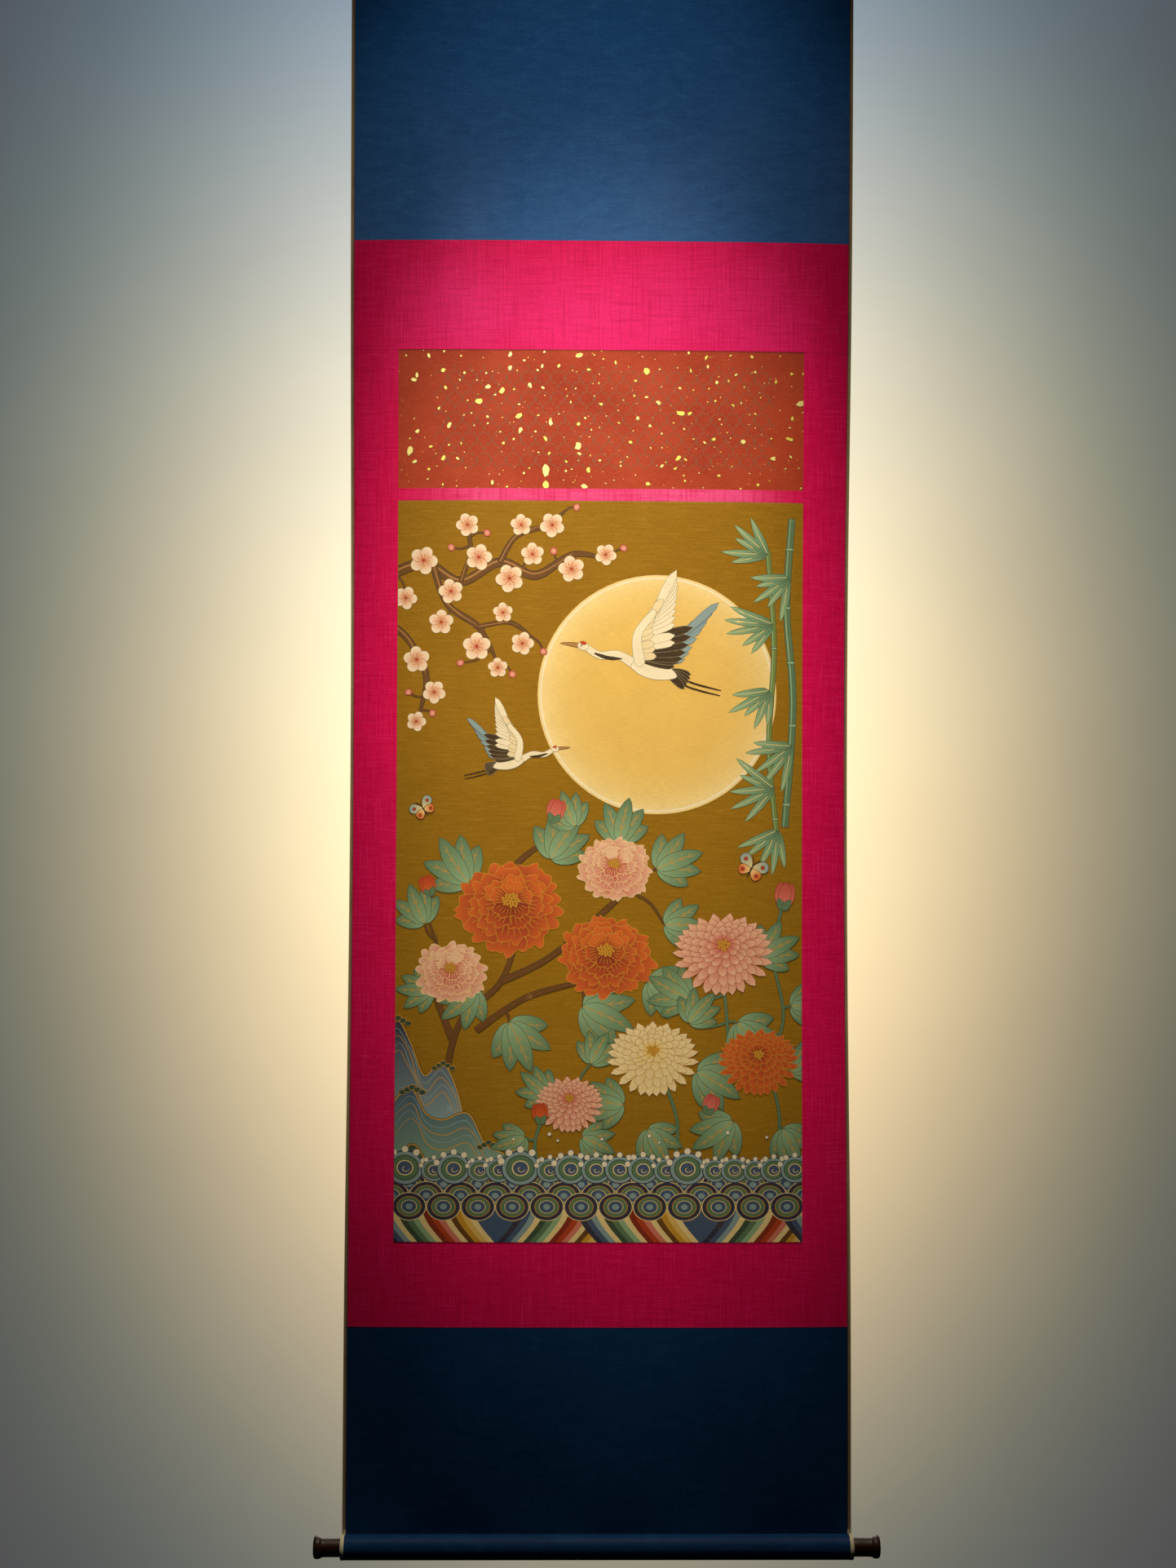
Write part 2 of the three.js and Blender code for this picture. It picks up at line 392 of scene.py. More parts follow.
def linear(colour):
    colour = np.clip(colour, 0, 1)
    return np.where(colour <= 0.04045, colour / 12.92, ((colour + 0.055) / 1.055) ** 2.4)


def scaled(colour, by):
    return tuple(min(channel * by, 1.0) for channel in colour[:3]) + (1.0,)


def banded(f, colour, edges):
    """The colour, tinted in level bands.

    edges holds their depth, reach up and down, reach across, colour and share.
    """
    level = f.depth()
    aside = f.math("ABSOLUTE", f.axis("X"))
    for depth, reach, reach_across, tint, share in edges:
        away = f.math("ABSOLUTE", f.math("SUBTRACT", level, depth))
        band = f.range(away, 0.0, reach, 0.0, share, smooth=True)
        within = f.range(aside, 0.6 * reach_across * MM, reach_across * MM, 0.0, 1.0, smooth=True)
        colour = f.mix(f.math("MULTIPLY", band, within), colour, tint)
    return colour


def hung_silk(name, colour, pale, weft, warp, mottle, edges=()):
    """Plain woven silk: fine threads both ways, thicker slubs, and cloudy patches of dye.

    weft and warp are how strongly the crosswise and the upright slubs show, and mottle is how
    strongly the crumpled paste behind the silk shows, as bumps and as painted light and shade on them,
    all from 0 to 1.
    """
    f = Finish(name)
    patches = f.noise(130, 400, 210, detail=4)
    crumple = f.noise(30, 400, 13, detail=5, rough=0.7, warp=0.8)
    cross_pale = f.range(f.noise(34, 400, 1.7, detail=3, rough=0.65), 0.5, 0.68, weft)
    cross_dark = f.range(f.noise(52, 400, 2.6, detail=3, rough=0.6), 0.5, 0.68, weft)
    upright_pale = f.range(f.noise(1.5, 400, 60, detail=3, rough=0.65), 0.5, 0.7, warp)
    upright_dark = f.range(f.noise(2.8, 400, 76, detail=3, rough=0.6), 0.5, 0.7, warp)
    threads = f.noise(5.5, 400, 0.55, detail=1)
    threads_up = f.noise(0.55, 400, 5.5, detail=1)
    slub_shade = scaled(colour, 0.68)
    base = f.layered(banded(f, colour, edges), (
        (f.range(patches, 0.3, 0.7, 0.55), scaled(colour, 0.78)),
        # Painted light and shade of the crumpled paste's small buckles: paler where they rise, darker where
        # they sink
        (f.range(crumple, 0.5, 0.75, mottle), pale),
        (f.range(crumple, 0.5, 0.25, mottle), scaled(colour, 0.5)),
        (cross_pale, pale),
        (upright_pale, pale),
        (cross_dark, slub_shade),
        (upright_dark, slub_shade),
        (f.range(threads, 0.35, 0.65, 0.24), scaled(colour, 0.6)),
        (f.range(threads_up, 0.35, 0.65, 0.2), pale),
    ))
    height = f.math("ADD", f.math("ADD", threads, threads_up), f.math("ADD", cross_pale, upright_pale))
    height = f.math("ADD", height, f.math("MULTIPLY", crumple, 9.0 * mottle))
    return f.finish(Base_Color=base, Roughness=f.range(patches, 0.3, 0.7, 0.57, 0.45),
                    Normal=f.bump(height, 0.12, 0.6), Sheen_Weight=0.02, Sheen_Roughness=0.4,
                    Specular_IOR_Level=0.06)


# The top and the foot are one navy silk. The upper navy and its pale slubs are a lighter copy with painted
# sheen, and its band at the heaven's foot is more painted sheen. The lower navy is a darker copy with
# painted shade.
UPPER_NAVY = rgb(20, 86, 164)
UPPER_NAVY_PALE = rgb(62, 120, 190)
UPPER_NAVY_PAINTED_SHEEN = rgb(76, 104, 158)
LOWER_NAVY = rgb(13, 51, 97)
LOWER_NAVY_PALE = rgb(36, 76, 122)
MAGENTA = rgb(228, 5, 84)
MAGENTA_PALE = rgb(252, 44, 128)
# Painted light: paler magentas for the middle of the top border and of the divider, where the lamps' pool is
# brightest
MAGENTA_PAINTED_LIGHT = rgb(236, 60, 170)
DIVIDER_PAINTED_LIGHT = rgb(252, 114, 184)
SEAM_PINK = rgb(236, 84, 120)
OCHRE = rgb(153, 111, 22)
OCHRE_PALE = rgb(192, 146, 52)
CREAM = rgb(226, 218, 192)


def flecked_paper():
    """Thick dyed paper with a soft fibrous face, faint clouds in its red and a shade at its top."""
    f = Finish("flecked_paper")
    clouds = f.noise(95, 400, 70, detail=4, rough=0.6)
    fibres = f.noise(7, 400, 1.1, detail=4, rough=0.7, warp=1.2)
    grain = f.noise(1.4, 400, 1.4, detail=3, rough=0.7)
    shade = f.range(f.depth(), BORDER_TOP_END, BORDER_TOP_END + TOP_SHADE, 0.0, 0.5, smooth=True)
    base = f.layered(rgb(186, 66, 32), (
        (f.range(clouds, 0.3, 0.7), rgb(162, 52, 26)),
        (f.range(fibres, 0.5, 0.68, 0.5), rgb(212, 92, 50)),
        (f.range(grain, 0.48, 0.66, 0.5), rgb(112, 28, 18)),
        (shade, rgb(96, 28, 18)),
    ))
    return f.finish(Base_Color=base, Roughness=f.range(clouds, 0.3, 0.7, 0.7, 0.58),
                    Normal=f.bump(f.math("ADD", fibres, grain), 0.15, 0.6), Sheen_Weight=0.02,
                    Specular_IOR_Level=0.25)


def backing_paper():
    """Pale mulberry paper pasted over the whole back, laid in overlapping sheets."""
    f = Finish("backing_paper")
    clouds = f.noise(160, 300, 120, detail=4, rough=0.6)
    fibres = f.noise(13, 300, 1.6, detail=4, rough=0.7, warp=2.0)
    fibres_up = f.noise(1.6, 300, 13, detail=4, rough=0.7, warp=2.0)
    lap = f.math("FRACT", f.math("DIVIDE", f.depth(), PAPER_LAP))
    base = f.layered(rgb(226, 216, 190), (
        (f.range(clouds, 0.3, 0.7), rgb(206, 192, 160)),
        (f.range(fibres, 0.52, 0.75, 0.5), rgb(244, 238, 220)),
        (f.range(fibres_up, 0.55, 0.8, 0.4), rgb(182, 164, 128)),
        (f.range(lap, 0.0, 0.03, 0.0, 0.35), rgb(176, 158, 122)),
    ))
    return f.finish(Base_Color=base, Roughness=0.82, Sheen_Weight=0.08,
                    Normal=f.bump(f.math("ADD", fibres, fibres_up), 0.2, 0.7))


def binding_paper():
    """The narrow edging, with painted shade where it meets the silk, a painted highlight that makes its rim
    cream, and cream round the roller.
    """
    f = Finish("binding")
    wear = f.noise(40, 40, 60, detail=4, rough=0.65)
    fibres = f.noise(2.2, 2.2, 0.8, detail=3, rough=0.7)
    worn = f.range(wear, 0.35, 0.65)
    across = f.add("SeparateXYZ", {0: f.add("UVMap", uv_map="OFBake")}, output="X")
    outwards = f.math("ABSOLUTE", f.math("SUBTRACT", across, f.math("LESS_THAN", f.axis("X"), 0.0)))
    foot = f.range(f.depth(), FREE_DEPTH - 3, FREE_DEPTH + 1, smooth=True)
    base = f.layered(rgb(166, 140, 104), (
        (worn, rgb(138, 112, 80)),
        (f.range(fibres, 0.5, 0.75, 0.4), rgb(134, 110, 82)),
        # Painted shade along the side that meets the silk, then a painted highlight along the outer rim
        (f.range(outwards, 0.1, 0.34, 0.0, 0.9, smooth=True), rgb(50, 34, 22)),
        (f.range(outwards, 0.66, 0.84, 0.85, smooth=True), rgb(216, 200, 166)),
        (foot, f.mix(worn, CREAM, rgb(206, 196, 166))),
    ))
    return f.finish(Base_Color=base, Roughness=0.7, Normal=f.bump(fibres, 0.1, 0.5))


def paint_material():
    """Mineral paint in its own colours, thin enough in places for the silk's threads to show."""
    f = Finish("mineral_paint")
    colour = f.own_colour()
    patches = f.noise(36, 400, 30, detail=4, rough=0.6)
    threads = f.noise(9, 400, 0.9, detail=2, rough=0.6)
    rubbed = f.noise(20, 400, 1.5, detail=3, rough=0.65)
    base = f.layered(colour, (
        (f.range(patches, 0.3, 0.7, 0.22), f.mix(0.5, colour, OCHRE)),
        (f.range(threads, 0.4, 0.7, 0.16), OCHRE),
        (f.range(rubbed, 0.6, 0.8, 0.4), OCHRE_PALE),
    ))
    return f.finish(Base_Color=base, Roughness=f.range(patches, 0.3, 0.7, 0.66, 0.52),
                    Normal=f.bump(f.math("ADD", threads, patches), 0.12, 0.6), Sheen_Weight=0.02,
                    Specular_IOR_Level=0.2)


def gold_leaf():
    f = Finish("gold_leaf")
    dents = f.noise(1.3, 30, 1.3, detail=3, rough=0.6)
    base = f.mix(f.range(dents, 0.45, 0.7, 0.4), f.own_colour(), rgb(240, 204, 70))
    return f.finish(Base_Color=base, Roughness=f.range(dents, 0.3, 0.7, 0.45, 0.28),
                    Normal=f.bump(dents, 0.08, 0.5), Metallic=0.15)


def stain_material():
    """Weak grey ink that has sunk into the red paper."""
    f = Finish("faint_ink")
    grain = f.noise(2.4, 400, 1.2, detail=3, rough=0.7)
    base = f.mix(f.range(grain, 0.35, 0.7, 0.8, 0.1), f.own_colour(), rgb(166, 60, 36))
    return f.finish(Base_Color=base, Roughness=0.7, Normal=f.bump(grain, 0.1, 0.4))


def wood(name, pale, dark, roughness, coat):
    """Turned wood with its grain along the rod, fine pores and a little wear."""
    f = Finish(name)
    grain = f.noise(60, 2.6, 2.6, detail=4, rough=0.6, warp=0.8)
    pores = f.noise(9, 0.5, 0.5, detail=2, rough=0.6)
    worn = f.noise(12, 12, 12, detail=3, rough=0.6)
    base = f.layered(dark, (
        (f.range(grain, 0.35, 0.65), pale),
        (f.range(pores, 0.55, 0.75, 0.6), scaled(dark, 0.4)),
        (f.range(worn, 0.6, 0.8, 0.3), scaled(pale, 1.5)),
    ))
    return f.finish(Base_Color=base, Roughness=f.range(worn, 0.3, 0.7, roughness + 0.1, roughness - 0.05),
                    Normal=f.bump(f.math("ADD", grain, pores), 0.1, 0.4), Coat_Weight=coat,
                    Coat_Roughness=0.22, Specular_IOR_Level=0.3)


def plaster(name, glow):
    """Matt pale plaster with a faint glow of its own, for what lies outside the lamps' light."""
    f = Finish(name)
    mottle = f.range(f.noise(700, 700, 500, detail=3), 0.3, 0.7)
    base = f.mix(mottle, PLASTER_COLOUR, scaled(PLASTER_COLOUR, 0.93))
    own_light = f.mix(mottle, glow, scaled(glow, 0.97))
    return f.finish(Base_Color=base, Roughness=0.95, Emission_Color=own_light, Emission_Strength=1.0)


def backdrop_material():
    """A pale backdrop with a painted warm pool of light, which it gives off itself, fading to dim and cooler
    edges.
    """
    f = Finish("backdrop_painted_pool")
    mottle = f.range(f.noise(500, 500, 400, detail=3), 0.3, 0.7, 1.015, 0.985)
    channels = []
    # Each channel of the painted pool of light: a glow that falls off from its middle, over the room's own
    # light
    for strength, x, z, wide, tall, room, fall in PAINTED_POOL:
        across = f.math("DIVIDE", f.math("SUBTRACT", f.axis("X"), x), wide)
        level = f.math("DIVIDE", f.math("SUBTRACT", f.axis("Z"), z), tall)
        away = f.math("ADD", f.math("MULTIPLY", across, across), f.math("MULTIPLY", level, level))
        fading = f.math("EXPONENT", f.math("MULTIPLY", f.math("POWER", away, fall), -1.0))
        glow = f.math("ADD", f.math("MULTIPLY", fading, strength), room)
        channels.append(f.math("MULTIPLY", glow, mottle))
    light = f.add("CombineColor", dict(enumerate(channels)))
    return f.finish(Base_Color=(0.02, 0.02, 0.02, 1.0), Roughness=1.0, Emission_Color=light,
                    Emission_Strength=1.0, Specular_IOR_Level=0.0)


# Drawing on a flat canvas

PALETTE = {
    "cream": (246, 226, 184), "white": (252, 240, 212), "halo": (238, 196, 104), "rim": (250, 224, 160),
    "gold": (214, 158, 52), "deep_gold": (168, 112, 30), "orange": (222, 104, 44), "red": (190, 58, 34),
    "deep_red": (138, 34, 28), "pink": (226, 128, 112), "deep_pink": (198, 78, 76),
    "pale_pink": (246, 200, 170), "teal": (86, 128, 100), "deep_teal": (40, 78, 66),
    "pale_teal": (150, 188, 150), "green": (110, 136, 72), "blue": (52, 88, 128),
    "deep_blue": (26, 44, 78), "pale_blue": (138, 168, 176), "ink": (44, 34, 30), "brown": (104, 66, 34),
    "tan": (176, 128, 74), "grey": (150, 146, 122), "faint": (112, 92, 62), "leaf_pale": (255, 248, 158),
    "leaf_deep": (255, 236, 112), "fleck_painted_shadow": (96, 44, 14),
}


def colour(name):
    return np.array(PALETTE[name], float) / 255


def flat(name):
    value = colour(name)
    return lambda x, y: np.broadcast_to(value, (len(x), 3))


def mixed(a, b, share):
    share = np.clip(share, 0, 1)[:, None]
    return colour(a) * (1 - share) + colour(b) * share


def radial(x0, y0, inner, outer, reach, power=1.0):
    return lambda x, y: mixed(inner, outer, (np.hypot(x - x0, y - y0) / reach) ** power)


def along(start, end, first, last, power=1.0):
    (x0, y0), (x1, y1) = start, end
    length2 = (x1 - x0) ** 2 + (y1 - y0) ** 2

    def paint(x, y):
        share = ((x - x0) * (x1 - x0) + (y - y0) * (y1 - y0)) / length2
        return mixed(first, last, np.clip(share, 0, 1) ** power)

    return paint


def circle(x, y, radius, squash=1.0, turn=0.0, count=28):
    a = np.arange(count) * TAU / count
    px, py = radius * np.cos(a), radius * squash * np.sin(a)
    c, s = math.cos(turn), math.sin(turn)
    return np.stack([x + px * c - py * s, y + px * s + py * c], 1)


def curve(points, count=8, closed=False):
    """A smooth line through the points, with count steps between each two."""
    p = np.array(points, float)
    n = len(p)
    out = []
    for i in range(n if closed else n - 1):
        if closed:
            a, b, c, d = (p[(i + k) % n] for k in (-1, 0, 1, 2))
        else:
            a, b, c, d = (p[min(max(i + k, 0), n - 1)] for k in (-1, 0, 1, 2))
        t = np.arange(count)[:, None] / count
        out.append(0.5 * (2 * b + (c - a) * t + (2 * a - 5 * b + 4 * c - d) * t**2
                          + (3 * b - a - 3 * c + d) * t**3))
    if not closed:
        out.append(p[-1:])
    return np.concatenate(out)


def sideways(line, closed=False):
    step = np.roll(line, -1, 0) - np.roll(line, 1, 0) if closed else np.gradient(line, axis=0)
    step = step / np.maximum(np.linalg.norm(step, axis=1), 1e-9)[:, None]
    return np.stack([step[:, 1], -step[:, 0]], 1)


def ribbon(line, width, ends=(1.0, 1.0)):
    """A stroke along the line; ends give its width there as shares of the full width."""
    line = np.asarray(line, float)
    t = np.linspace(0, 1, len(line))
    half = width / 2 * (ends[0] + (1 - ends[0]) * np.clip(t * 3, 0, 1)) \
        * (ends[1] + (1 - ends[1]) * np.clip((1 - t) * 3, 0, 1))
    side = sideways(line) * half[:, None]
    return np.concatenate([line + side, (line - side)[::-1]])


def grown(outline, width):
    area = np.sum(outline[:, 0] * np.roll(outline[:, 1], -1) - np.roll(outline[:, 0], -1) * outline[:, 1])
    return outline + sideways(outline, True) * width * (1 if area > 0 else -1)


def placed(points, x, y, turn=0.0, size=1.0, flip=False):
    p = np.array(points, float) * size
    if flip:
        p[:, 0] = -p[:, 0]
    c, s = math.cos(turn), math.sin(turn)
    return np.stack([x + p[:, 0] * c - p[:, 1] * s, y + p[:, 0] * s + p[:, 1] * c], 1)


def petal(length, width, tip=0.6, widest=0.62, bend=0.0, count=13, root=0.0):
    """A petal from the origin up to (0, -length): its two sides meet in a point at the tip.

    A root over 0 leaves off that share of its length, where other petals cover it.
    """
    t = np.linspace(root, 1, count)
    k = widest / (1 - widest)
    half = (t**(k * tip)) * ((1 - t) ** tip)
    half = half / half.max() * width / 2
    axis = bend * length * t**2
    left = np.stack([axis - half, -length * t], 1)
    right = np.stack([axis + half, -length * t], 1)
    return np.concatenate([left, right[-2:None if root else 0:-1]])


class Canvas:
    """Flat painted shapes in picture millimetres; a later one covers an earlier one."""

    def __init__(self):
        self.shapes = []

    def fill(self, outline, paint):
        self.shapes.append((np.asarray(outline, float), flat(paint) if isinstance(paint, str) else paint))

    def lined(self, outline, paint, line, width=0.7):
        self.fill(grown(outline, width), line)
        self.fill(outline, paint)

    def stroke(self, line, width, paint, ends=(0.3, 0.3)):
        self.fill(ribbon(line, width, ends), paint)

    def grow(self, x, y, turn, shape, tip, paints, line, width):
        """A petal or leaf that stands at (x, y) and is shaded from there to its tip."""
        end = placed([tip], x, y, turn)[0]
        self.lined(placed(shape, x, y, turn), along((x, y), end, *paints), line, width)

    def nested(self, x, y, radius, rings, squash, count):
        """Discs from the outermost inwards, given as a share of the radius and a paint."""
        for share, paint in rings:
            self.fill(circle(x, y, radius * share, squash, count=count), paint)


def moon(c, x, y, r):
    c.fill(circle(x, y, r + 5, count=72), "rim")
    c.fill(circle(x, y, r + 2.2, count=72), "white")
    c.fill(circle(x, y, r, count=72), radial(x, y, "halo", "rim", r, 5))


def leaflet(c, x, y, turn, length, width, bend):
    c.grow(x, y, turn, petal(length, width, 0.75, 0.45, bend, 11), (bend * length, -length),
           ("pale_teal", "teal"), "deep_teal", 0.6)
    t = np.linspace(0, 0.92, 7)
    c.stroke(placed(np.stack([bend * length * t**2, -length * t], 1), x, y, turn), 0.9, "gold", (1, 0.2))
    for k in (0.3, 0.5, 0.68):
        for side in (-1, 1):
            start = np.array([bend * length * k**2, -length * k])
            end = start + [side * width * 0.3 * (1.25 - k), -length * 0.13]
            vein = np.array([start, (start + end) / 2 + [0, 0.6], end])
            c.stroke(placed(vein, x, y, turn), 0.6, "gold", (1, 0.2))


def leaf_spray(c, x, y, turn, size):
    """Three lobed leaves on one stalk, as a tree peony has them."""
    for angle, reach in ((-0.85, 0.72), (0.85, 0.72), (-0.35, 0.92), (0.42, 0.9), (0.02, 1.0)):
        leaflet(c, x, y, turn + angle, size * reach, size * 0.34, bend=0.1 * (1 if angle > 0 else -1))


def peony(c, x, y, r, turn, seed, light="orange", dark="deep_red", edge="gold"):
    """A full bloom: four rounds of broad ruffled petals, the inner ones raised round the stamens."""
    rng = random.Random(seed)
    rounds = [(9, 1.0, 0.62), (8, 0.8, 0.62), (7, 0.6, 0.66), (5, 0.42, 0.8)]
    for level, (count, reach, half_angle) in enumerate(rounds):
        raised = y - r * 0.05 * level
        order = list(range(count))
        rng.shuffle(order)
        for i in order:
            middle = turn + (i + 0.5 * (level % 2)) * TAU / count + rng.uniform(-0.1, 0.1)
            far = r * reach * rng.uniform(0.93, 1.05)
            t = np.linspace(-1, 1, 19)
            wave = 1 - 0.26 * t**2 + 0.055 * np.cos(t * 9 + rng.uniform(0, 3)) - 0.1 * (np.abs(t) < 0.09)
            angle = middle + t * half_angle * 0.86
            rim = np.stack([far * wave * np.cos(angle), far * wave * np.sin(angle)], 1)
            root = np.array([[0.12 * far * math.cos(middle), 0.12 * far * math.sin(middle)]])
            outline = np.concatenate([root, rim])
            outline[:, 1] *= PEONY_SQUASH
            outline += [x, raised]
            tip = (x + far * math.cos(middle), y + far * math.sin(middle) * PEONY_SQUASH)
            c.lined(outline, along((x, y), tip, dark, light, 1.6), edge, 0.65)
            for k in (-0.45, -0.15, 0.15, 0.45):
                a = middle + k * half_angle
                line = [(x + q * far * math.cos(a), raised + q * far * math.sin(a) * PEONY_SQUASH)
                        for q in (0.45, 0.62, 0.8)]
                c.stroke(line, 0.7, edge, (0.2, 0.6))
    for i in range(26):
        a, q = i * 2.4, math.sqrt(i / 26)
        px, py = x + r * 0.17 * q * math.cos(a), y - r * 0.14 + r * 0.13 * q * math.sin(a)
        c.lined(circle(px, py, r * 0.025, count=6), "gold", "deep_gold", 0.4)


def bud(c, x, y, turn, size, light="pink", dark="deep_pink"):
    for angle, width in ((-0.22, 0.5), (0.22, 0.5), (0, 0.46)):
        c.grow(x, y, turn + angle, petal(size, size * width, 0.65, 0.5), (0, -size), (light, dark, 1.3),
               "deep_red", 0.5)
    for angle in (-0.55, 0.55):
        shape = placed(petal(size * 0.45, size * 0.26, 0.7, 0.4), x, y, turn + angle)
        c.lined(shape, "teal", "deep_teal", 0.5)


def chrysanthemum(c, x, y, r, turn, light="pale_pink", dark="deep_pink", line="deep_red"):
    """A full head of narrow petals in rings, the inner ones shorter and folded over the middle."""
    rings = ((25, 1.0, 0.19, 0.0), (23, 0.84, 0.19, 0.05), (20, 0.67, 0.19, 0.1), (16, 0.5, 0.18, 0.14),
             (11, 0.34, 0.16, 0.18))
    for level, (count, length, width, rise) in enumerate(rings):
        hidden = 0.35 if level < len(rings) - 1 else 0.1
        for i in range(count):
            angle = turn + (i + 0.5 * (level % 2)) * TAU / count
            bend = 0.12 * math.sin(angle * 3 + level)
            shape = placed(petal(r * length, r * width, 0.42, 0.72, bend, 7, hidden), 0, 0, angle)
            shape = shape * [1, HEAD_SQUASH] + [x, y - r * rise]
            tip = (x + r * length * math.sin(angle), y - r * (rise + length * HEAD_SQUASH * math.cos(angle)))
            c.lined(shape, along((x, y - r * rise), tip, dark, light, 1.4), line, 0.45)
    for i in range(14):
        a, q = i * 2.4, math.sqrt(i / 14) * 0.12 * r
        spot = circle(x + q * math.cos(a), y - r * 0.18 + q * math.sin(a), r * 0.028, count=6)
        c.lined(spot, "gold", "deep_gold", 0.4)


def joined(c, lines, spots, width, paint, line):
    """Thin stalks from the nearest of the stems to flowers and leaves that would float beside them."""
    near = np.concatenate(lines)
    for x, y, *_ in spots:
        foot = near[np.argmin(np.hypot(near[:, 0] - x, near[:, 1] - y))]
        middle = (foot + [x, y]) / 2 + np.array([y - foot[1], foot[0] - x]) * 0.12
        c.lined(ribbon(curve([foot, middle, (x, y)], 6), width, (1.2, 0.7)), paint, line, 0.4)


def plum_flower(c, x, y, r, turn):
    """Five round petals seen from the front, with stamens."""
    for k in range(5):
        a = turn + k * TAU / 5
        shape = circle(x + r * 0.56 * math.cos(a), y + r * 0.56 * math.sin(a), r * 0.46, 0.94, a, 16)
        c.lined(shape, radial(x, y, "pink", "white", r * 0.95, 0.8), "tan", 0.5)
    for k in range(9):
        a = turn + k * TAU / 9
        tip = (x + r * 0.42 * math.cos(a), y + r * 0.42 * math.sin(a))
        c.stroke(np.array([(x, y), ((x + tip[0]) / 2, (y + tip[1]) / 2 + 0.2), tip]), 0.6, "deep_gold")
        c.fill(circle(*tip, r * 0.07, count=6), "gold")
    c.fill(circle(x, y, r * 0.13, count=8), "red")


def plum_branch(c):
    """A knotted branch from the left edge, in blossom."""
    boughs = (
        ([(-262, 92), (-216, 78), (-172, 100), (-124, 76), (-80, 92), (-34, 66), (8, 72)], 10),
        ([(-206, 80), (-188, 128), (-150, 156), (-128, 196)], 6.5),
        ([(-124, 76), (-104, 44), (-66, 30), (-44, 12)], 5),
        ([(-262, 150), (-236, 172), (-214, 216), (-222, 262)], 7),
        ([(-150, 156), (-112, 150), (-84, 168)], 4),
        ([(-172, 100), (-160, 60), (-168, 26)], 4),
    )
    flowers = (
        (-218, 74, 17), (-184, 112, 15), (-150, 70, 16), (-112, 96, 17), (-84, 66, 14), (-36, 84, 16),
        (6, 66, 13), (-196, 150, 15), (-152, 180, 17), (-126, 206, 12), (-60, 30, 15), (-98, 30, 13),
        (-226, 196, 16), (-204, 236, 14), (-226, 272, 12), (-96, 176, 14), (-164, 30, 14), (-240, 120, 14),
        (-120, 138, 12),
    )
    buds = ((-58, 62), (28, 58), (-140, 40), (-184, 58), (-236, 236), (-108, 214), (-70, 186), (-30, 8),
            (-206, 262), (-172, 200))
    joined(c, [curve(points) for points, _ in boughs], flowers + buds, 2.0, "brown", "ink")
    for points, width in boughs:
        c.lined(ribbon(curve(points), width, (1.25, 0.25)), "brown", "ink", 0.8)
        c.stroke(curve(np.array(points[:-1]) + [0, -width * 0.18], 6), width * 0.22, "tan", (1, 0.2))
    rng = random.Random(31)
    for x, y, r in flowers:
        plum_flower(c, x, y, r, rng.uniform(0, TAU))
    for x, y in buds:
        shape = circle(x, y, 4.6, 0.85, rng.uniform(0, 3), 12)
        c.lined(shape, radial(x, y, "pale_pink", "deep_pink", 5), "deep_red", 0.5)


def bamboo(c):
    """Two leaning canes along the right edge and sprays of narrow leaves."""
    for points, width, paint in (([(236, 20), (230, 130), (238, 250), (228, 400)], 8, "teal"),
                                 ([(206, 60), (214, 180), (208, 300), (218, 410)], 6, "green")):
        line = curve(points, 12)
        c.lined(ribbon(line, width), paint, "deep_teal", 0.6)
        c.stroke(line + [-width * 0.2, 0], width * 0.2, "pale_teal", (0.6, 0.6))
        for x, y in line[5::7]:
            c.lined(circle(x, y, width * 0.62, 0.3, count=12), "pale_teal", "deep_teal", 0.6)
    rng = random.Random(17)
    sprays = ((232, 92, -2.3), (212, 150, -1.9), (208, 232, -2.5), (236, 300, -2.2), (214, 352, -1.7),
              (218, 404, -2.7), (206, 64, -1.2))
    for x, y, lean in sprays:
        for k in range(5):
            turn = lean + (k - 2) * 0.36 + rng.uniform(-0.08, 0.08)
            length = rng.uniform(40, 60)
            c.grow(x, y, turn, petal(length, 9.5, 0.7, 0.34, 0.06, 9), (0, -length),
                   ("teal", "pale_teal", 0.8), "deep_teal", 0.5)
            rib = np.array([(0.0, -2.0), (0.015 * length, -length * 0.5), (0.05 * length, -length * 0.92)])
            c.stroke(placed(rib, x, y, turn), 0.7, "rim", (1, 0.2))


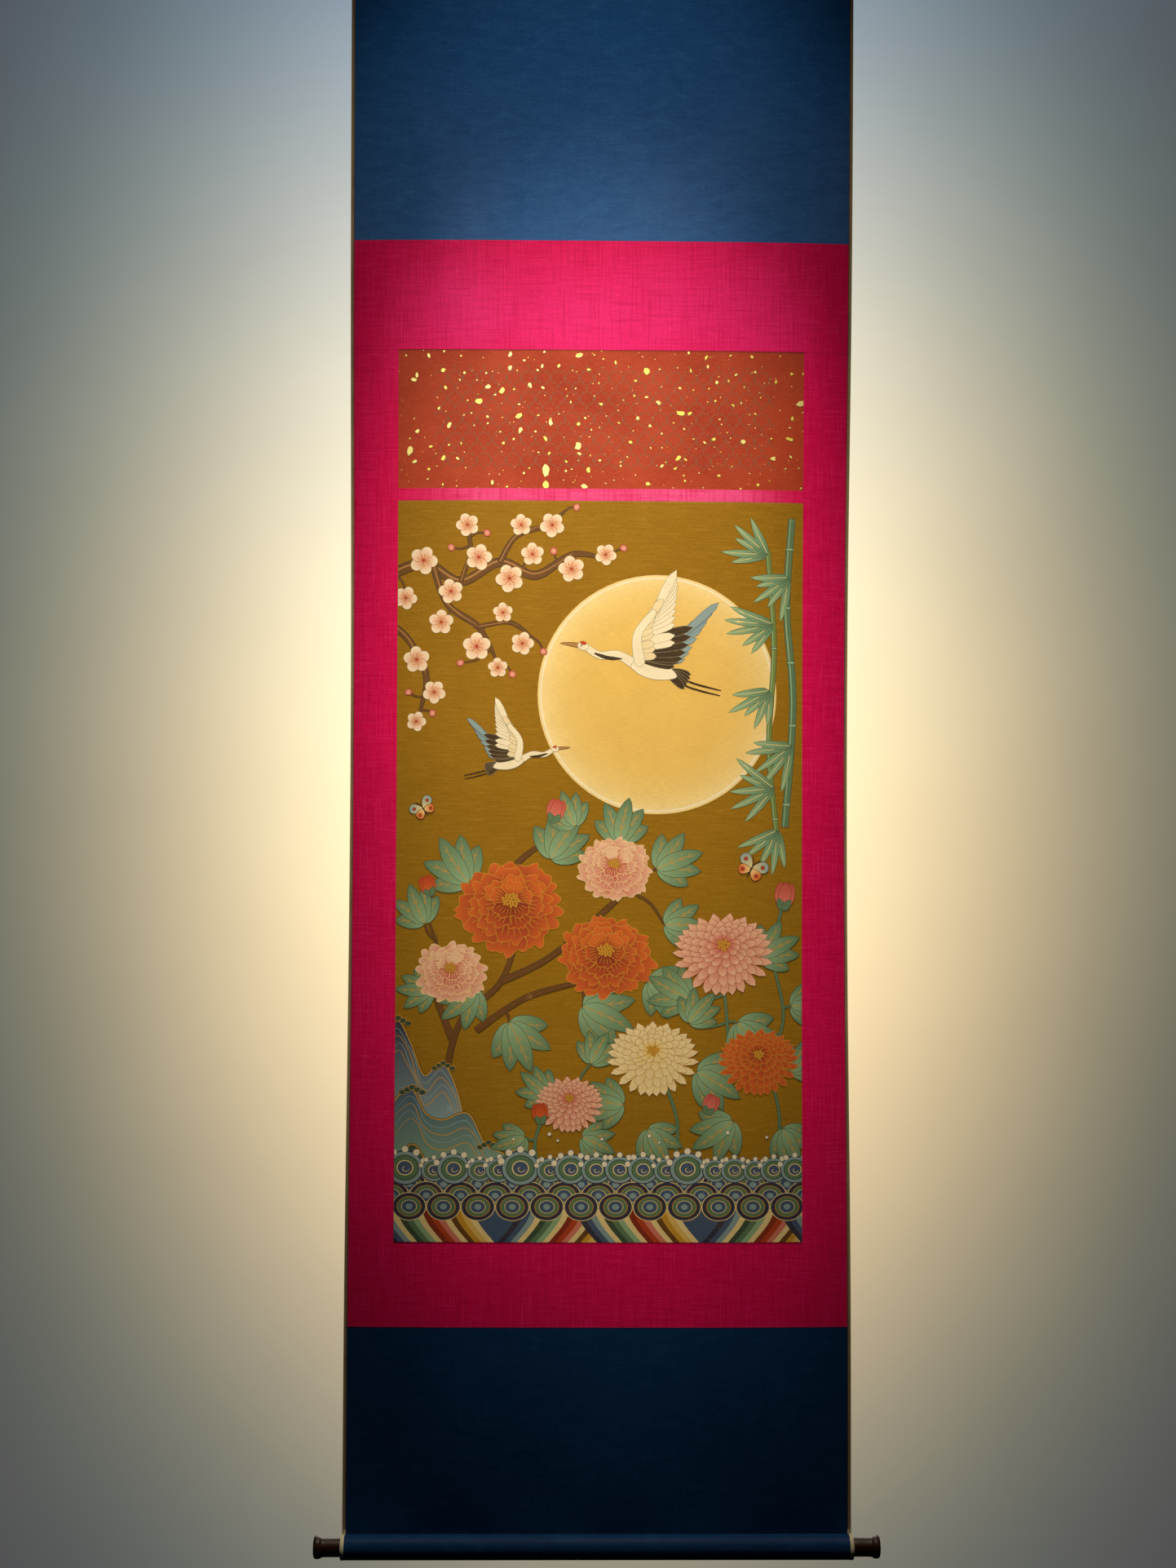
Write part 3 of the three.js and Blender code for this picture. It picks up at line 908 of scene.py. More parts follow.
def hills(c):
    """Blue and green hills in overlapping ridges, each edged in gold and ribbed with contour lines.

    A ridge holds its outline but for the lower left corner, where all start and end, and its paints.
    """
    ridges = (
        ([(-268, 700), (-250, 640), (-232, 664), (-214, 706), (-192, 690), (-172, 730), (-160, 800),
          (-150, 910)], "deep_blue", "pale_blue"),
        ([(-268, 770), (-250, 738), (-230, 722), (-212, 752), (-190, 760), (-160, 752), (-138, 790),
          (-110, 806), (-92, 850), (-84, 910)], "blue", "pale_teal"),
        ([(-268, 800), (-246, 806), (-226, 790), (-200, 822), (-168, 812), (-140, 846), (-100, 852),
          (-62, 880), (-40, 910)], "deep_teal", "pale_teal"),
        ([(-268, 858), (-236, 846), (-206, 862), (-176, 852), (-150, 878), (-118, 876), (-96, 910)],
         "teal", "tan"),
    )
    for points, top, low in ridges:
        outline = curve(points, 6)
        body = np.concatenate([outline, [(-268, 910)]])
        high = min(y for _, y in points)
        c.lined(grown(body, 1.5), "gold", "ink", 0.7)
        c.fill(body, along((0, high), (0, high + 120), top, low, 0.8))
        for k in range(1, 5):
            inner = outline[2:-6] + np.array([0.6 * k, 9.0 * k])
            inner[:, 0] += 1.2 * np.sin(inner[:, 1] / 9 + k)
            c.stroke(inner, 1.0, "pale_blue" if k % 2 else "gold", (0.2, 0.2))
    shrubs = ((-246, 646, 1.0), (-190, 700, 0.9), (-228, 730, 1.0), (-134, 796, 0.9), (-96, 856, 0.8))
    for x, y, size in shrubs:
        for k in range(-2, 3):
            shrub = circle(x + k * 6 * size, y - 4 * size - (2 - abs(k)) * 3, 4.4 * size, 0.7, count=12)
            c.lined(shrub, "deep_teal", "gold", 0.5)


def waves(c):
    """Standing water at the foot in coloured stripes, rows of scaled waves and a line of foam curls."""
    bands = ("deep_blue", "blue", "pale_blue", "rim", "deep_teal", "teal", "pale_teal", "rim", "deep_red",
             "red", "pink", "rim", "brown", "gold", "halo", "rim")
    step = WAVE_MODULE / len(bands)
    low = PICTURE_HEIGHT
    c.fill([(-250, SCALES_TOP), (250, SCALES_TOP), (250, low), (-250, low)], "blue")
    rise = np.linspace(0, 1, 9)
    for m in range(-3, 3):
        way = 1 if m % 2 else -1
        for i, name in enumerate(bands):
            left = m * WAVE_MODULE + i * step + way * (14 * np.sin(rise * 2.6) + 22 * rise**2)
            line = np.stack([left, low - 46 * rise + 2], 1)
            c.fill(np.concatenate([line, (line + [step + 0.2, 0])[::-1]]), name)
    scale = ((1.0, "rim"), (0.95, "deep_blue"), (0.72, "gold"), (0.68, "teal"), (0.46, "rim"),
             (0.42, "blue"), (0.2, "pale_blue"))
    for row in range(4):
        for k in range(-7, 8):
            x, y = k * 2 * SCALE_RADIUS + SCALE_RADIUS * (row % 2), SCALES_TOP + row * 13.5
            c.nested(x, y, SCALE_RADIUS, scale, 0.82, 26)
    curl = ((1.0, "deep_blue"), (0.93, "pale_blue"), (0.74, "deep_teal"), (0.68, "teal"), (0.44, "rim"),
            (0.38, "blue"))
    rng = random.Random(8)
    x = -262.0
    while x < 262:
        size = rng.uniform(15, 24)
        y = SCALES_TOP + 2 - size * 0.35
        c.nested(x, y, size, curl, 0.9, 24)
        for k in range(5):
            a = math.pi * (1.12 + 0.19 * k)
            px, py = x + size * 1.05 * math.cos(a), y + size * 0.95 * math.sin(a)
            c.lined(circle(px, py, size * 0.17, count=10), "white", "blue", 0.5)
        a = np.linspace(0.2, 4.6, 12)
        far = size * (0.26 - 0.05 * a)
        c.stroke(np.stack([x + far * np.cos(a), y + far * np.sin(a)], 1), 0.9, "rim", (0.6, 0.2))
        x += size * 1.5
    for x, y, r in ((-60, 776, 2.2), (-50, 784, 1.5), (62, 778, 2.0), (74, 786, 1.4), (158, 774, 2.1),
                    (4, 782, 1.6), (206, 780, 1.7), (-104, 782, 1.5)):
        c.lined(circle(x, y, r, count=10), "white", "blue", 0.4)


def crane(c, x, y, size, turn, flip=False):
    """A crane in flight: neck and legs stretched out, one wing raised and the other behind it."""
    def at(points):
        return placed(points, x, y, turn, size, flip)

    def feathers(bone, count, shares, angles, lengths, width, paint, line):
        """A fan of feathers; shares of the bone, angles and lengths go from the first to the last."""
        bone = curve(bone)
        fan = np.stack([np.linspace(*ends, count) for ends in (shares, angles, lengths)], 1)
        for share, angle, length in fan:
            px, py = bone[int(share * (len(bone) - 1))]
            c.lined(at(placed(petal(length, width, 0.45, 0.6, 0.05, 9), px, py, angle)), paint, line, 0.45)

    feathers([(-0.05, -0.05), (0.1, -0.32), (0.34, -0.52)], 9, (0.02, 0.9), (1.17, 0.55), (0.5, 0.7), 0.1,
             "pale_blue", "blue")
    for side in (0.0, 0.07):
        leg = curve([(0.3, 0.02 + side), (0.62, 0.07 + side), (0.98, 0.08 + side)], 6)
        c.stroke(at(leg), size * 0.028, "ink", (1, 0.5))
    for k in range(5):
        tail = placed(petal(0.34, 0.1, 0.5, 0.5, 0.1, 9), 0.2, 0.0, 1.35 + 0.16 * k)
        c.lined(at(tail), "ink", "grey", 0.4)
    body = [(-0.34, -0.04), (-0.15, -0.15), (0.12, -0.12), (0.36, 0.03), (0.1, 0.13), (-0.16, 0.1)]
    c.lined(at(curve(body, 6, True)), "white", "grey", 0.6)
    neck = curve([(-0.26, -0.02), (-0.48, -0.08), (-0.7, -0.02), (-0.9, -0.08)])
    c.lined(at(ribbon(neck, 0.1, (1.3, 0.8))), "white", "grey", 0.5)
    c.stroke(at(curve([(-0.4, -0.04), (-0.6, -0.01), (-0.78, -0.03)], 6)), size * 0.05, "ink", (0.2, 0.4))
    c.lined(at(curve([(-1.26, -0.06), (-1.02, -0.115), (-0.98, -0.06)], 4, True)), "tan", "ink", 0.4)
    c.lined(at(circle(-0.95, -0.09, 0.072, 0.75, count=14)), "white", "grey", 0.5)
    c.fill(at(circle(-0.955, -0.13, 0.045, 0.6, count=10)), "red")
    c.fill(at(circle(-0.975, -0.09, 0.012, count=6)), "ink")
    wing = [(-0.2, -0.08), (-0.28, -0.4), (-0.12, -0.72)]
    feathers(wing, 7, (0.02, 0.32), (1.5, 1.0), (0.5, 0.8), 0.12, "ink", "grey")
    feathers(wing, 11, (0.3, 1.0), (1.15, 0.2), (0.52, 0.66), 0.115, "white", "grey")
    inner_wing = [(-0.22, -0.08), (-0.3, -0.4), (-0.14, -0.72)]
    feathers(inner_wing, 10, (0.12, 0.94), (1.25, 0.35), (0.27, 0.27), 0.1, "cream", "grey")
    arm = [(-0.22, -0.02), (-0.33, -0.4), (-0.16, -0.76), (-0.1, -0.7), (-0.22, -0.4), (-0.1, -0.06)]
    c.lined(at(curve(arm, 6, True)), "white", "grey", 0.5)


def butterfly(c, x, y, size, turn):
    for side in (-1, 1):
        for angle, length, width, name in ((0.95, 1.0, 0.62, "pale_blue"), (2.0, 0.72, 0.56, "orange")):
            way, reach = turn + side * angle, size * length
            c.grow(x, y, way, petal(reach, size * width, 0.4, 0.66), (0, -reach), ("rim", name), "ink", 0.6)
            spot = placed([(0, -reach * 0.66)], x, y, way)[0]
            c.lined(circle(*spot, size * 0.1, count=9), "red", "ink", 0.5)
    c.stroke(placed([(0, -0.35), (0, 0), (0, 0.5)], x, y, turn, size), size * 0.11, "ink", (0.6, 0.2))
    for side in (-1, 1):
        feeler = curve([(0, -0.3), (side * 0.12, -0.55), (side * 0.3, -0.72)], 5)
        c.stroke(placed(feeler, x, y, turn, size), 0.7, "ink")


def peony_bush(c):
    stems = ([(-190, 720), (-170, 640), (-120, 590), (-96, 520)], [(-150, 650), (-90, 610), (-20, 590)],
             [(-120, 590), (-60, 560), (10, 500), (40, 470)], [(-180, 660), (-205, 590), (-200, 540)],
             [(-96, 520), (-110, 460), (-70, 420)])
    sprays = ((-60, 440, 0.5, 62), (-160, 470, -0.7, 66), (70, 452, 1.1, 60), (24, 420, 0.1, 56),
              (-214, 520, -0.5, 52), (-20, 620, 1.9, 70), (-110, 640, 2.6, 66), (60, 590, 2.1, 58),
              (-204, 600, -1.7, 46), (-30, 400, -0.5, 46), (-150, 600, -2.4, 56), (80, 520, 1.5, 52))
    lines = [curve(points) for points in stems]
    joined(c, lines, sprays + ((-58, 396), (-206, 486)), 2.8, "brown", "ink")
    for line in lines:
        c.lined(ribbon(line, 6.5, (1.3, 0.6)), "brown", "ink", 0.6)
    for spray in sprays:
        leaf_spray(c, *spray)
    peony(c, -108, 500, 66, 0.3, 3)
    peony(c, 8, 560, 60, 1.0, 9)
    peony(c, -182, 580, 44, 0.6, 12, "pale_pink", "deep_pink", "rim")
    peony(c, 18, 452, 46, 0.1, 15, "pale_pink", "deep_pink", "rim")
    bud(c, -58, 396, 0.25, 30)
    bud(c, -206, 486, -0.35, 26, "orange", "red")


def chrysanthemum_leaves(c):
    stems = ([(176, 830), (150, 740), (158, 660), (148, 560)], [(210, 830), (222, 760), (206, 690)],
             [(90, 830), (96, 760), (70, 690)], [(190, 720), (226, 640), (214, 560), (224, 500)],
             [(10, 830), (0, 770), (-26, 730)], [(-70, 830), (-78, 790), (-70, 760)])
    sprays = ((196, 560, 1.0, 56), (110, 610, -1.2, 56), (170, 640, 2.4, 62), (236, 700, 0.9, 48),
              (120, 700, 2.0, 62), (30, 740, -1.5, 54), (60, 770, 2.5, 52), (164, 760, -2.3, 60),
              (226, 770, 2.6, 50), (-20, 780, 1.9, 44), (-60, 730, -1.0, 46), (-90, 780, -2.0, 44),
              (110, 640, 0.6, 48), (236, 620, 1.5, 44), (-10, 690, 0.4, 44))
    lines = [curve(points, 10) for points in stems]
    joined(c, lines, sprays + ((132, 752),), 2.2, "teal", "deep_teal")
    for line in lines:
        c.lined(ribbon(line, 3.2), "teal", "deep_teal", 0.5)
    for spray in sprays:
        leaf_spray(c, *spray)


def chrysanthemum_heads(c):
    chrysanthemum(c, 152, 556, 62, 0.1)
    chrysanthemum(c, 66, 684, 56, 0.5, "cream", "halo", "deep_gold")
    chrysanthemum(c, 196, 688, 50, 0.3, "orange", "deep_red", "gold")
    chrysanthemum(c, -36, 740, 42, 0.2)
    bud(c, 226, 502, 0.12, 34)
    bud(c, -70, 764, -0.12, 26, "orange", "red")
    bud(c, 132, 752, 0.4, 26)


def painted_design():
    """The picture's design in groups from the back to the front, each a film of paint."""
    drawn = (
        ("moon", moon, 70, 238, 142),
        ("bamboo", bamboo),
        ("plum_branch", plum_branch),
        ("crane_high", crane, 62, 206, 92, 0.22),
        ("crane_low", crane, -110, 322, 60, -0.2, True),
        ("peonies", peony_bush),
        ("hills", hills),
        ("chrysanthemum_leaves", chrysanthemum_leaves),
        ("chrysanthemum_heads", chrysanthemum_heads),
        ("butterfly_right", butterfly, 186, 452, 22, 0.5),
        ("butterfly_left", butterfly, -216, 380, 18, -0.6),
        ("waves", waves),
    )
    for name, draw, *where in drawn:
        canvas = Canvas()
        draw(canvas, *where)
        yield name, canvas


# The red paper's gold and its faint pattern


def gold_flecks():
    """Torn scraps of gold leaf scattered evenly: many specks and fewer large ones."""
    rng = random.Random(FLECK_SEED)
    c = Canvas()
    for y in np.arange(FLECK_PITCH / 2, PAPER_HEIGHT, FLECK_PITCH):
        for x in np.arange(FLECK_PITCH / 2 - HALF_PICTURE, HALF_PICTURE, FLECK_PITCH):
            if rng.random() < 0.55 + 0.3 * (x > -120):
                sizes = [rng.uniform(*ends) for ends in FLECK_SIZES]
                size = rng.choices(sizes, FLECK_SHARES)[0]
                fleck(c, rng, x + rng.uniform(-7, 7), y + rng.uniform(-7, 7), size)
            if rng.random() < 0.5:
                fleck(c, rng, x + rng.uniform(-8, 8), y + rng.uniform(-8, 8), rng.uniform(0.35, 0.6))
    return c


def fleck(c, rng, x, y, size):
    corners = rng.randint(5, 8)
    long, turn = rng.uniform(1.0, 1.9), rng.uniform(0, math.pi)
    reach = [size * rng.uniform(0.55, 1.15) for _ in range(corners)]
    angles = [i * TAU / corners for i in range(corners)]
    outline = [(r * long * math.cos(a), r * math.sin(a)) for a, r in zip(angles, reach)]
    outline = placed(outline, x, y, turn)
    # A painted shadow: a dark rim under each larger fleck, moved a little down and to the right
    if size > 0.9:
        c.fill(grown(outline, 0.35) + [0.15, 0.25], "fleck_painted_shadow")
    c.fill(outline, "leaf_pale" if rng.random() < 0.6 else "leaf_deep")


def trellis():
    """A faint trellis of thin stems, as on a dyed letter paper, with a leaf or a flower at each crossing."""
    c = Canvas()
    for row, y in enumerate(np.arange(TRELLIS_EDGE, PAPER_HEIGHT - TRELLIS_EDGE, TRELLIS_TALL / 2)):
        aside = (row % 2) * TRELLIS_WIDE / 2
        petals, fan = (5, TAU / 5) if row % 2 else (3, 0.8)
        for x in np.arange(-TRELLIS_REACH, TRELLIS_REACH + 1, TRELLIS_WIDE) + aside:
            for side in (-1, 1):
                foot = (side * TRELLIS_WIDE / 2, TRELLIS_TALL / 2 - 1)
                sway = np.array([(0, 1.5), (side * 1.6, 5), (side * 7, 8), foot])
                c.stroke(curve(sway + [x, y], 3), 0.7, "faint", (0.6, 0.6))
                c.fill(placed(petal(3.4, 1.3, 0.6, count=6), x + side * 4, y + 6.6, side * 0.5), "faint")
            for k in range(petals):
                c.fill(placed(petal(2.6, 1.1, 0.5, count=5), x, y, (k - 1) * fan), "faint")
    return c


# Paint films


def windings(points, outline):
    """How many times the outline runs round each point; 0 is outside."""
    x, y = points[:, :1], points[:, 1:]
    x0, y0 = outline[:, 0], outline[:, 1]
    x1, y1 = np.roll(x0, -1), np.roll(y0, -1)
    side = (x1 - x0) * (y - y0) - (x - x0) * (y1 - y0)
    rising = (y0 <= y) & (y1 > y) & (side > 0)
    falling = (y0 > y) & (y1 <= y) & (side < 0)
    return rising.sum(1) - falling.sum(1)


def topmost(points, shapes):
    """The number of the last shape that covers each point, or -1."""
    found = np.full(len(points), -1)
    left = np.arange(len(points))
    for number in range(len(shapes) - 1, -1, -1):
        outline = shapes[number][0]
        low, high = outline.min(0), outline.max(0)
        near = np.flatnonzero(((points[left] >= low) & (points[left] <= high)).all(1))
        if len(near):
            hit = near[windings(points[left[near]], outline) != 0]
            found[left[hit]] = number
            left = np.delete(left, hit)
    return found


def cut_up(canvas, clip):
    """The canvas as triangles: their points, their corners and the shape that shows on each."""
    outlines = [outline for outline, _ in canvas.shapes] + [clip]
    low = np.maximum(np.min([o.min(0) for o in outlines[:-1]], 0), clip.min(0))
    high = np.minimum(np.max([o.max(0) for o in outlines[:-1]], 0), clip.max(0))
    across, down = spread(low[0], high[0], FILM_STEP), spread(low[1], high[1], FILM_STEP)
    grid = np.stack(np.meshgrid(across, down), -1)
    starts = np.cumsum([0] + [len(o) for o in outlines])
    edges = [(s + i, s + (i + 1) % len(o)) for s, o in zip(starts, outlines) for i in range(len(o))]
    points = np.concatenate(outlines + [grid.reshape(-1, 2)])
    made = delaunay_2d_cdt([Vector(p) for p in points], edges, [], 0, FILM_SNAP, False)
    points, corners = np.array(made[0], float), np.array(made[2], int)
    middles = points[corners].mean(1)
    shape_of = topmost(middles, canvas.shapes)
    shape_of[((middles < clip.min(0)) | (middles > clip.max(0))).any(1)] = -1
    return points, corners[shape_of >= 0], shape_of[shape_of >= 0]


def film_front(canvas, clip):
    """A film's front: its flat points, its triangles and the colours at their corners."""
    points, corners, shape_of = cut_up(canvas, clip)
    used, corners = np.unique(corners, return_inverse=True)
    points, corners = points[used], corners.reshape(-1, 3)
    first, second, third = points[corners].transpose(1, 0, 2)
    facing = np.cross(second - first, third - first)
    corners[facing > 0] = corners[facing > 0][:, ::-1]
    colours = np.empty((len(corners), 3, 3))
    for number in np.unique(shape_of):
        here = shape_of == number
        spots = points[corners[here]].reshape(-1, 2)
        colours[here] = canvas.shapes[number][1](spots[:, 0], spots[:, 1]).reshape(-1, 3, 3)
    return points, corners, colours


def open_sides(corners, count):
    """The sides that only one triangle has, and the number of that triangle."""
    sides = np.concatenate([corners[:, [0, 1]], corners[:, [1, 2]], corners[:, [2, 0]]])
    owner = np.tile(np.arange(len(corners)), 3)
    key = np.sort(sides, 1) @ np.array([count, 1])
    _, first, uses = np.unique(key, return_index=True, return_counts=True)
    alone = first[uses == 1]
    return sides[alone], owner[alone]


def film(name, canvas, field, lift, material):
    """A thin layer of paint on the cloth, with a skirt that runs down into it all round."""
    top, height = field
    half, foot = HALF_PICTURE - FILM_MARGIN, height - FILM_MARGIN
    clip = np.array([(-half, FILM_MARGIN), (half, FILM_MARGIN), (half, foot), (-half, foot)])
    flat_points, corners, colours = film_front(canvas, clip)

    rim, owner = open_sides(corners, len(flat_points))
    skirt_tops, place_of = np.unique(rim, return_inverse=True)
    lowered = place_of.reshape(-1, 2) + len(flat_points)
    skirt = np.stack([rim[:, 1], rim[:, 0], lowered[:, 0], lowered[:, 1]], -1)
    skirt_colours = np.stack([colours[owner].mean(1)] * 4, 1)

    u, v = flat_points[:, 0], flat_points[:, 1] + top
    points = np.concatenate([place(u, v, HALF_THICK + lift),
                             place(u[skirt_tops], v[skirt_tops], HALF_THICK - FILM_ROOT)])
    share = np.concatenate([flat_points, flat_points[skirt_tops]])
    share = (share - flat_points.min(0)) / np.ptp(flat_points, 0) * [1, -1] + [0, 1]
    faces = corners.tolist() + skirt.tolist()
    uvs = share[np.concatenate([corners.ravel(), skirt.ravel()])]
    made = make_object(name, points, faces, uvs, np.zeros(len(faces)), [material], len(corners))
    painted = linear(np.concatenate([colours.reshape(-1, 3), skirt_colours.reshape(-1, 3)]))
    painted = np.concatenate([painted, np.ones((len(painted), 1))], 1)
    paint = made.data.color_attributes.new("paint", "FLOAT_COLOR", "CORNER")
    paint.data.foreach_set("color", painted.astype(np.float32).ravel())
    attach(made, "root")
    return made


# The mount's pieces

# Painted light: the heaven's navy is painted lighter, with a painted sheen band at its foot, and the earth's
# navy is painted darker as painted shade
upper_navy = hung_silk("navy_silk_upper_painted_lit", UPPER_NAVY, UPPER_NAVY_PALE, 0.24, 0.16, 0.42,
                       edges=[(HEAVEN_END, 300, FULL_WIDTH, UPPER_NAVY_PAINTED_SHEEN, 0.7)])
lower_navy = hung_silk("navy_silk_lower_painted_shade", LOWER_NAVY, LOWER_NAVY_PALE, 0.24, 0.2, 0.34)
# The bands at the top border and over the divider, fading towards the sides, are a painted pool of light
magenta = hung_silk("magenta_silk", MAGENTA, MAGENTA_PALE, 0.5, 0.6, 0.16,
                    edges=[(BORDER_TOP_END - 40, 140, 300, MAGENTA_PAINTED_LIGHT, 0.5),
                           (DIVIDER_END - 8, 50, 262, DIVIDER_PAINTED_LIGHT, 0.9),
                           (BORDER_BOTTOM_END, 1.6, FULL_WIDTH, SEAM_PINK, 0.5)])
ochre = hung_silk("ochre_silk", OCHRE, OCHRE_PALE, 0.4, 0.08, 0.1,
                  edges=[(DIVIDER_END, 2.2, FULL_WIDTH, rgb(206, 166, 96), 0.8)])
red_paper = flecked_paper()
backing = backing_paper()
edging = binding_paper()


def plain(lift):
    return lambda u, v: np.full(np.shape(u), HALF_THICK + lift)


def hemmed(u, v):
    """The back of the top panel, which is doubled over the hem."""
    return HALF_THICK + 2 * HALF_THICK * np.clip((HEM_HEIGHT - v) / HEM_STEP + 1, 0, 1)


def rounded(inner, outer):
    """A face of the edging, highest along its middle and thin at both edges."""
    def lift(u, v):
        t = (np.abs(u) - inner) / (outer - inner) * 2 - 1
        return HALF_THICK + EDGING_PROUD * (1 - t**2) - EDGING_SUNK * t**2
    return lift


def declare(made, node):
    """Ties a sheet to the frame and hides the CAD node that it stands for."""
    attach(made, "root")
    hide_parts(node)


def panel(node, edges, depths, proud, finish):
    """One flat band of the mount, between two edges and two depths."""
    columns, rows = spread(*edges, CLOTH_STEP), spread(*depths, CLOTH_STEP)
    made = cloth(node + "_cloth", columns, rows, plain(proud), plain(0), [finish, backing])
    declare(made, node)


full = (-HALF_PANEL, HALF_PANEL)
inside = (-HALF_PICTURE, HALF_PICTURE)
wrap_rows = spread(ROLLER_DEPTH, WRAP_END, WRAP_STEP)[1:]


def edging_strip(node, side):
    """The narrow edging down one side, which goes round the roller with the cloth."""
    columns = np.sort(side * spread(HALF_PANEL, HALF_CLOTH, EDGING_STEP))
    rows = np.concatenate([spread(0, ROLLER_DEPTH, CLOTH_STEP), wrap_rows])
    face = rounded(HALF_PANEL, HALF_CLOTH)
    made = cloth(node + "_strip", columns, rows, face, face, [edging, edging])
    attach(made, "root")
    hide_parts(node)
    return made


edgings = [edging_strip("binding_left", -1), edging_strip("binding_right", 1)]
below_hem = spread(HEM_HEIGHT + HEM_STEP, HEAVEN_END, CLOTH_STEP)
heaven_rows = np.concatenate([spread(0, HEM_HEIGHT, CLOTH_STEP), below_hem])
columns = spread(*full, CLOTH_STEP)
heaven = cloth("heaven_panel_cloth", columns, heaven_rows, plain(0), hemmed,
               [upper_navy, backing, upper_navy], turned_over=lambda v: v < HEM_HEIGHT)
declare(heaven, "heaven_panel")

picture_field = (DIVIDER_END, PICTURE_HEIGHT)
paint = paint_material()
for number, (name, canvas) in enumerate(painted_design()):
    lift = PAINT_LIFT + FILM_LIFT * number
    film("picture_" + name, canvas, picture_field, lift, paint)
paper_field = (BORDER_TOP_END, PAPER_HEIGHT)
vines = film("paper_trellis", trellis(), paper_field, PAINT_LIFT * 0.6, stain_material())
flecks = film("paper_flecks", gold_flecks(), paper_field, PAINT_LIFT * 1.6, gold_leaf())

panel("border_top", full, (HEAVEN_END, BORDER_TOP_END), PROUD_ACROSS, magenta)
for side, name in ((-1, "border_left"), (1, "border_right")):
    strip = sorted((side * HALF_PICTURE, side * HALF_PANEL))
    panel(name, strip, (BORDER_TOP_END, PICTURE_END), PROUD_SIDE, magenta)
panel("flecked_panel", inside, (BORDER_TOP_END, FLECKED_END), 0.0, red_paper)
panel("border_divider", inside, (FLECKED_END, DIVIDER_END), PROUD_DIVIDER, magenta)
panel("picture_panel", inside, (DIVIDER_END, PICTURE_END), 0.0, ochre)
panel("border_bottom", full, (PICTURE_END, BORDER_BOTTOM_END), PROUD_ACROSS, magenta)

earth_rows = np.concatenate([spread(BORDER_BOTTOM_END, ROLLER_DEPTH, CLOTH_STEP), wrap_rows])
earth = cloth("earth_panel_cloth", columns, earth_rows, plain(0), plain(0),
              [lower_navy, backing, lower_navy], back_share=0.45, turned_over=lambda v: v > ROLLER_DEPTH)
declare(earth, "earth_panel")


# Roller and knobs


def knob(node, side, finish):
    """A turned knob: a shadow groove, straight neck, flare, rounded lip and a faint dome."""
    outline = curve(KNOB_PROFILE, KNOB_STEPS)
    angles = np.arange(KNOB_SEGMENTS) * TAU / KNOB_SEGMENTS
    along, radius = outline[:, :1], outline[:, 1:]
    x = side * (HALF_CLOTH + along) + 0 * angles
    rings = np.stack([x, AXIS_Y + radius * np.cos(angles), radius * np.sin(angles) - ROLLER_DEPTH], -1)
    index = np.arange(x.size).reshape(x.shape)
    ahead = np.roll(index, -1, 1)
    quads = np.stack([index[:-1], ahead[:-1], ahead[1:], index[1:]], -1).reshape(-1, 4)
    faces = [face[::side] for face in quads.tolist() + [index[0].tolist()[::-1], index[-1].tolist()]]

    turns = np.arange(KNOB_SEGMENTS + 1) / KNOB_SEGMENTS
    spots = np.stack(np.meshgrid(turns, np.linspace(0, 0.8, len(outline))), -1)
    side_uv = np.stack([spots[:-1, :-1], spots[:-1, 1:], spots[1:, 1:], spots[1:, :-1]], 2).reshape(-1, 4, 2)
    disc = np.stack([np.cos(angles), np.sin(angles)], -1) * 0.09
    ends = [(disc + [0.25, 0.9])[::-1], disc + [0.75, 0.9]]
    uvs = np.concatenate([np.asarray(uv)[::side] for uv in [*side_uv, *ends]])
    made = make_object(node + "_turned", rings.reshape(-1, 3), faces, uvs, np.zeros(len(faces)), [finish])
    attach(made, "root")
    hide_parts(node)


dark_wood = wood("knob_wood", rgb(58, 25, 15), rgb(29, 10, 6), 0.45, 0.04)
knob("knob_left", -1, dark_wood)
knob("knob_right", 1, dark_wood)

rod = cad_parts["roller_rod"]
rod.data.materials.clear()
rod.data.materials.append(wood("rod_wood", rgb(190, 158, 110), rgb(150, 116, 72), 0.6, 0.0))


# Camera, light and studio


def look(position, yaw, pitch, roll):
    """A camera's axes as a matrix; it looks along +Y, and yaw turns it to the right."""
    ahead = Vector((math.sin(yaw) * math.cos(pitch), math.cos(yaw) * math.cos(pitch), math.sin(pitch)))
    right = Vector((math.cos(yaw), -math.sin(yaw), 0))
    up = right.cross(ahead)
    across = right * math.cos(roll) + up * math.sin(roll)
    upright = up * math.cos(roll) - right * math.sin(roll)
    return Matrix.Translation(position) @ Matrix((across, upright, -ahead)).transposed().to_4x4()


scene = bpy.context.scene
camera = bpy.data.objects.new("camera", bpy.data.cameras.new("camera"))
scene.collection.objects.link(camera)
camera.data.lens = CAMERA_LENS
camera.matrix_world = look(CAMERA_PLACE, CAMERA_YAW, CAMERA_PITCH, CAMERA_ROLL)
scene.camera = camera
scene.view_settings.view_transform = "Standard"


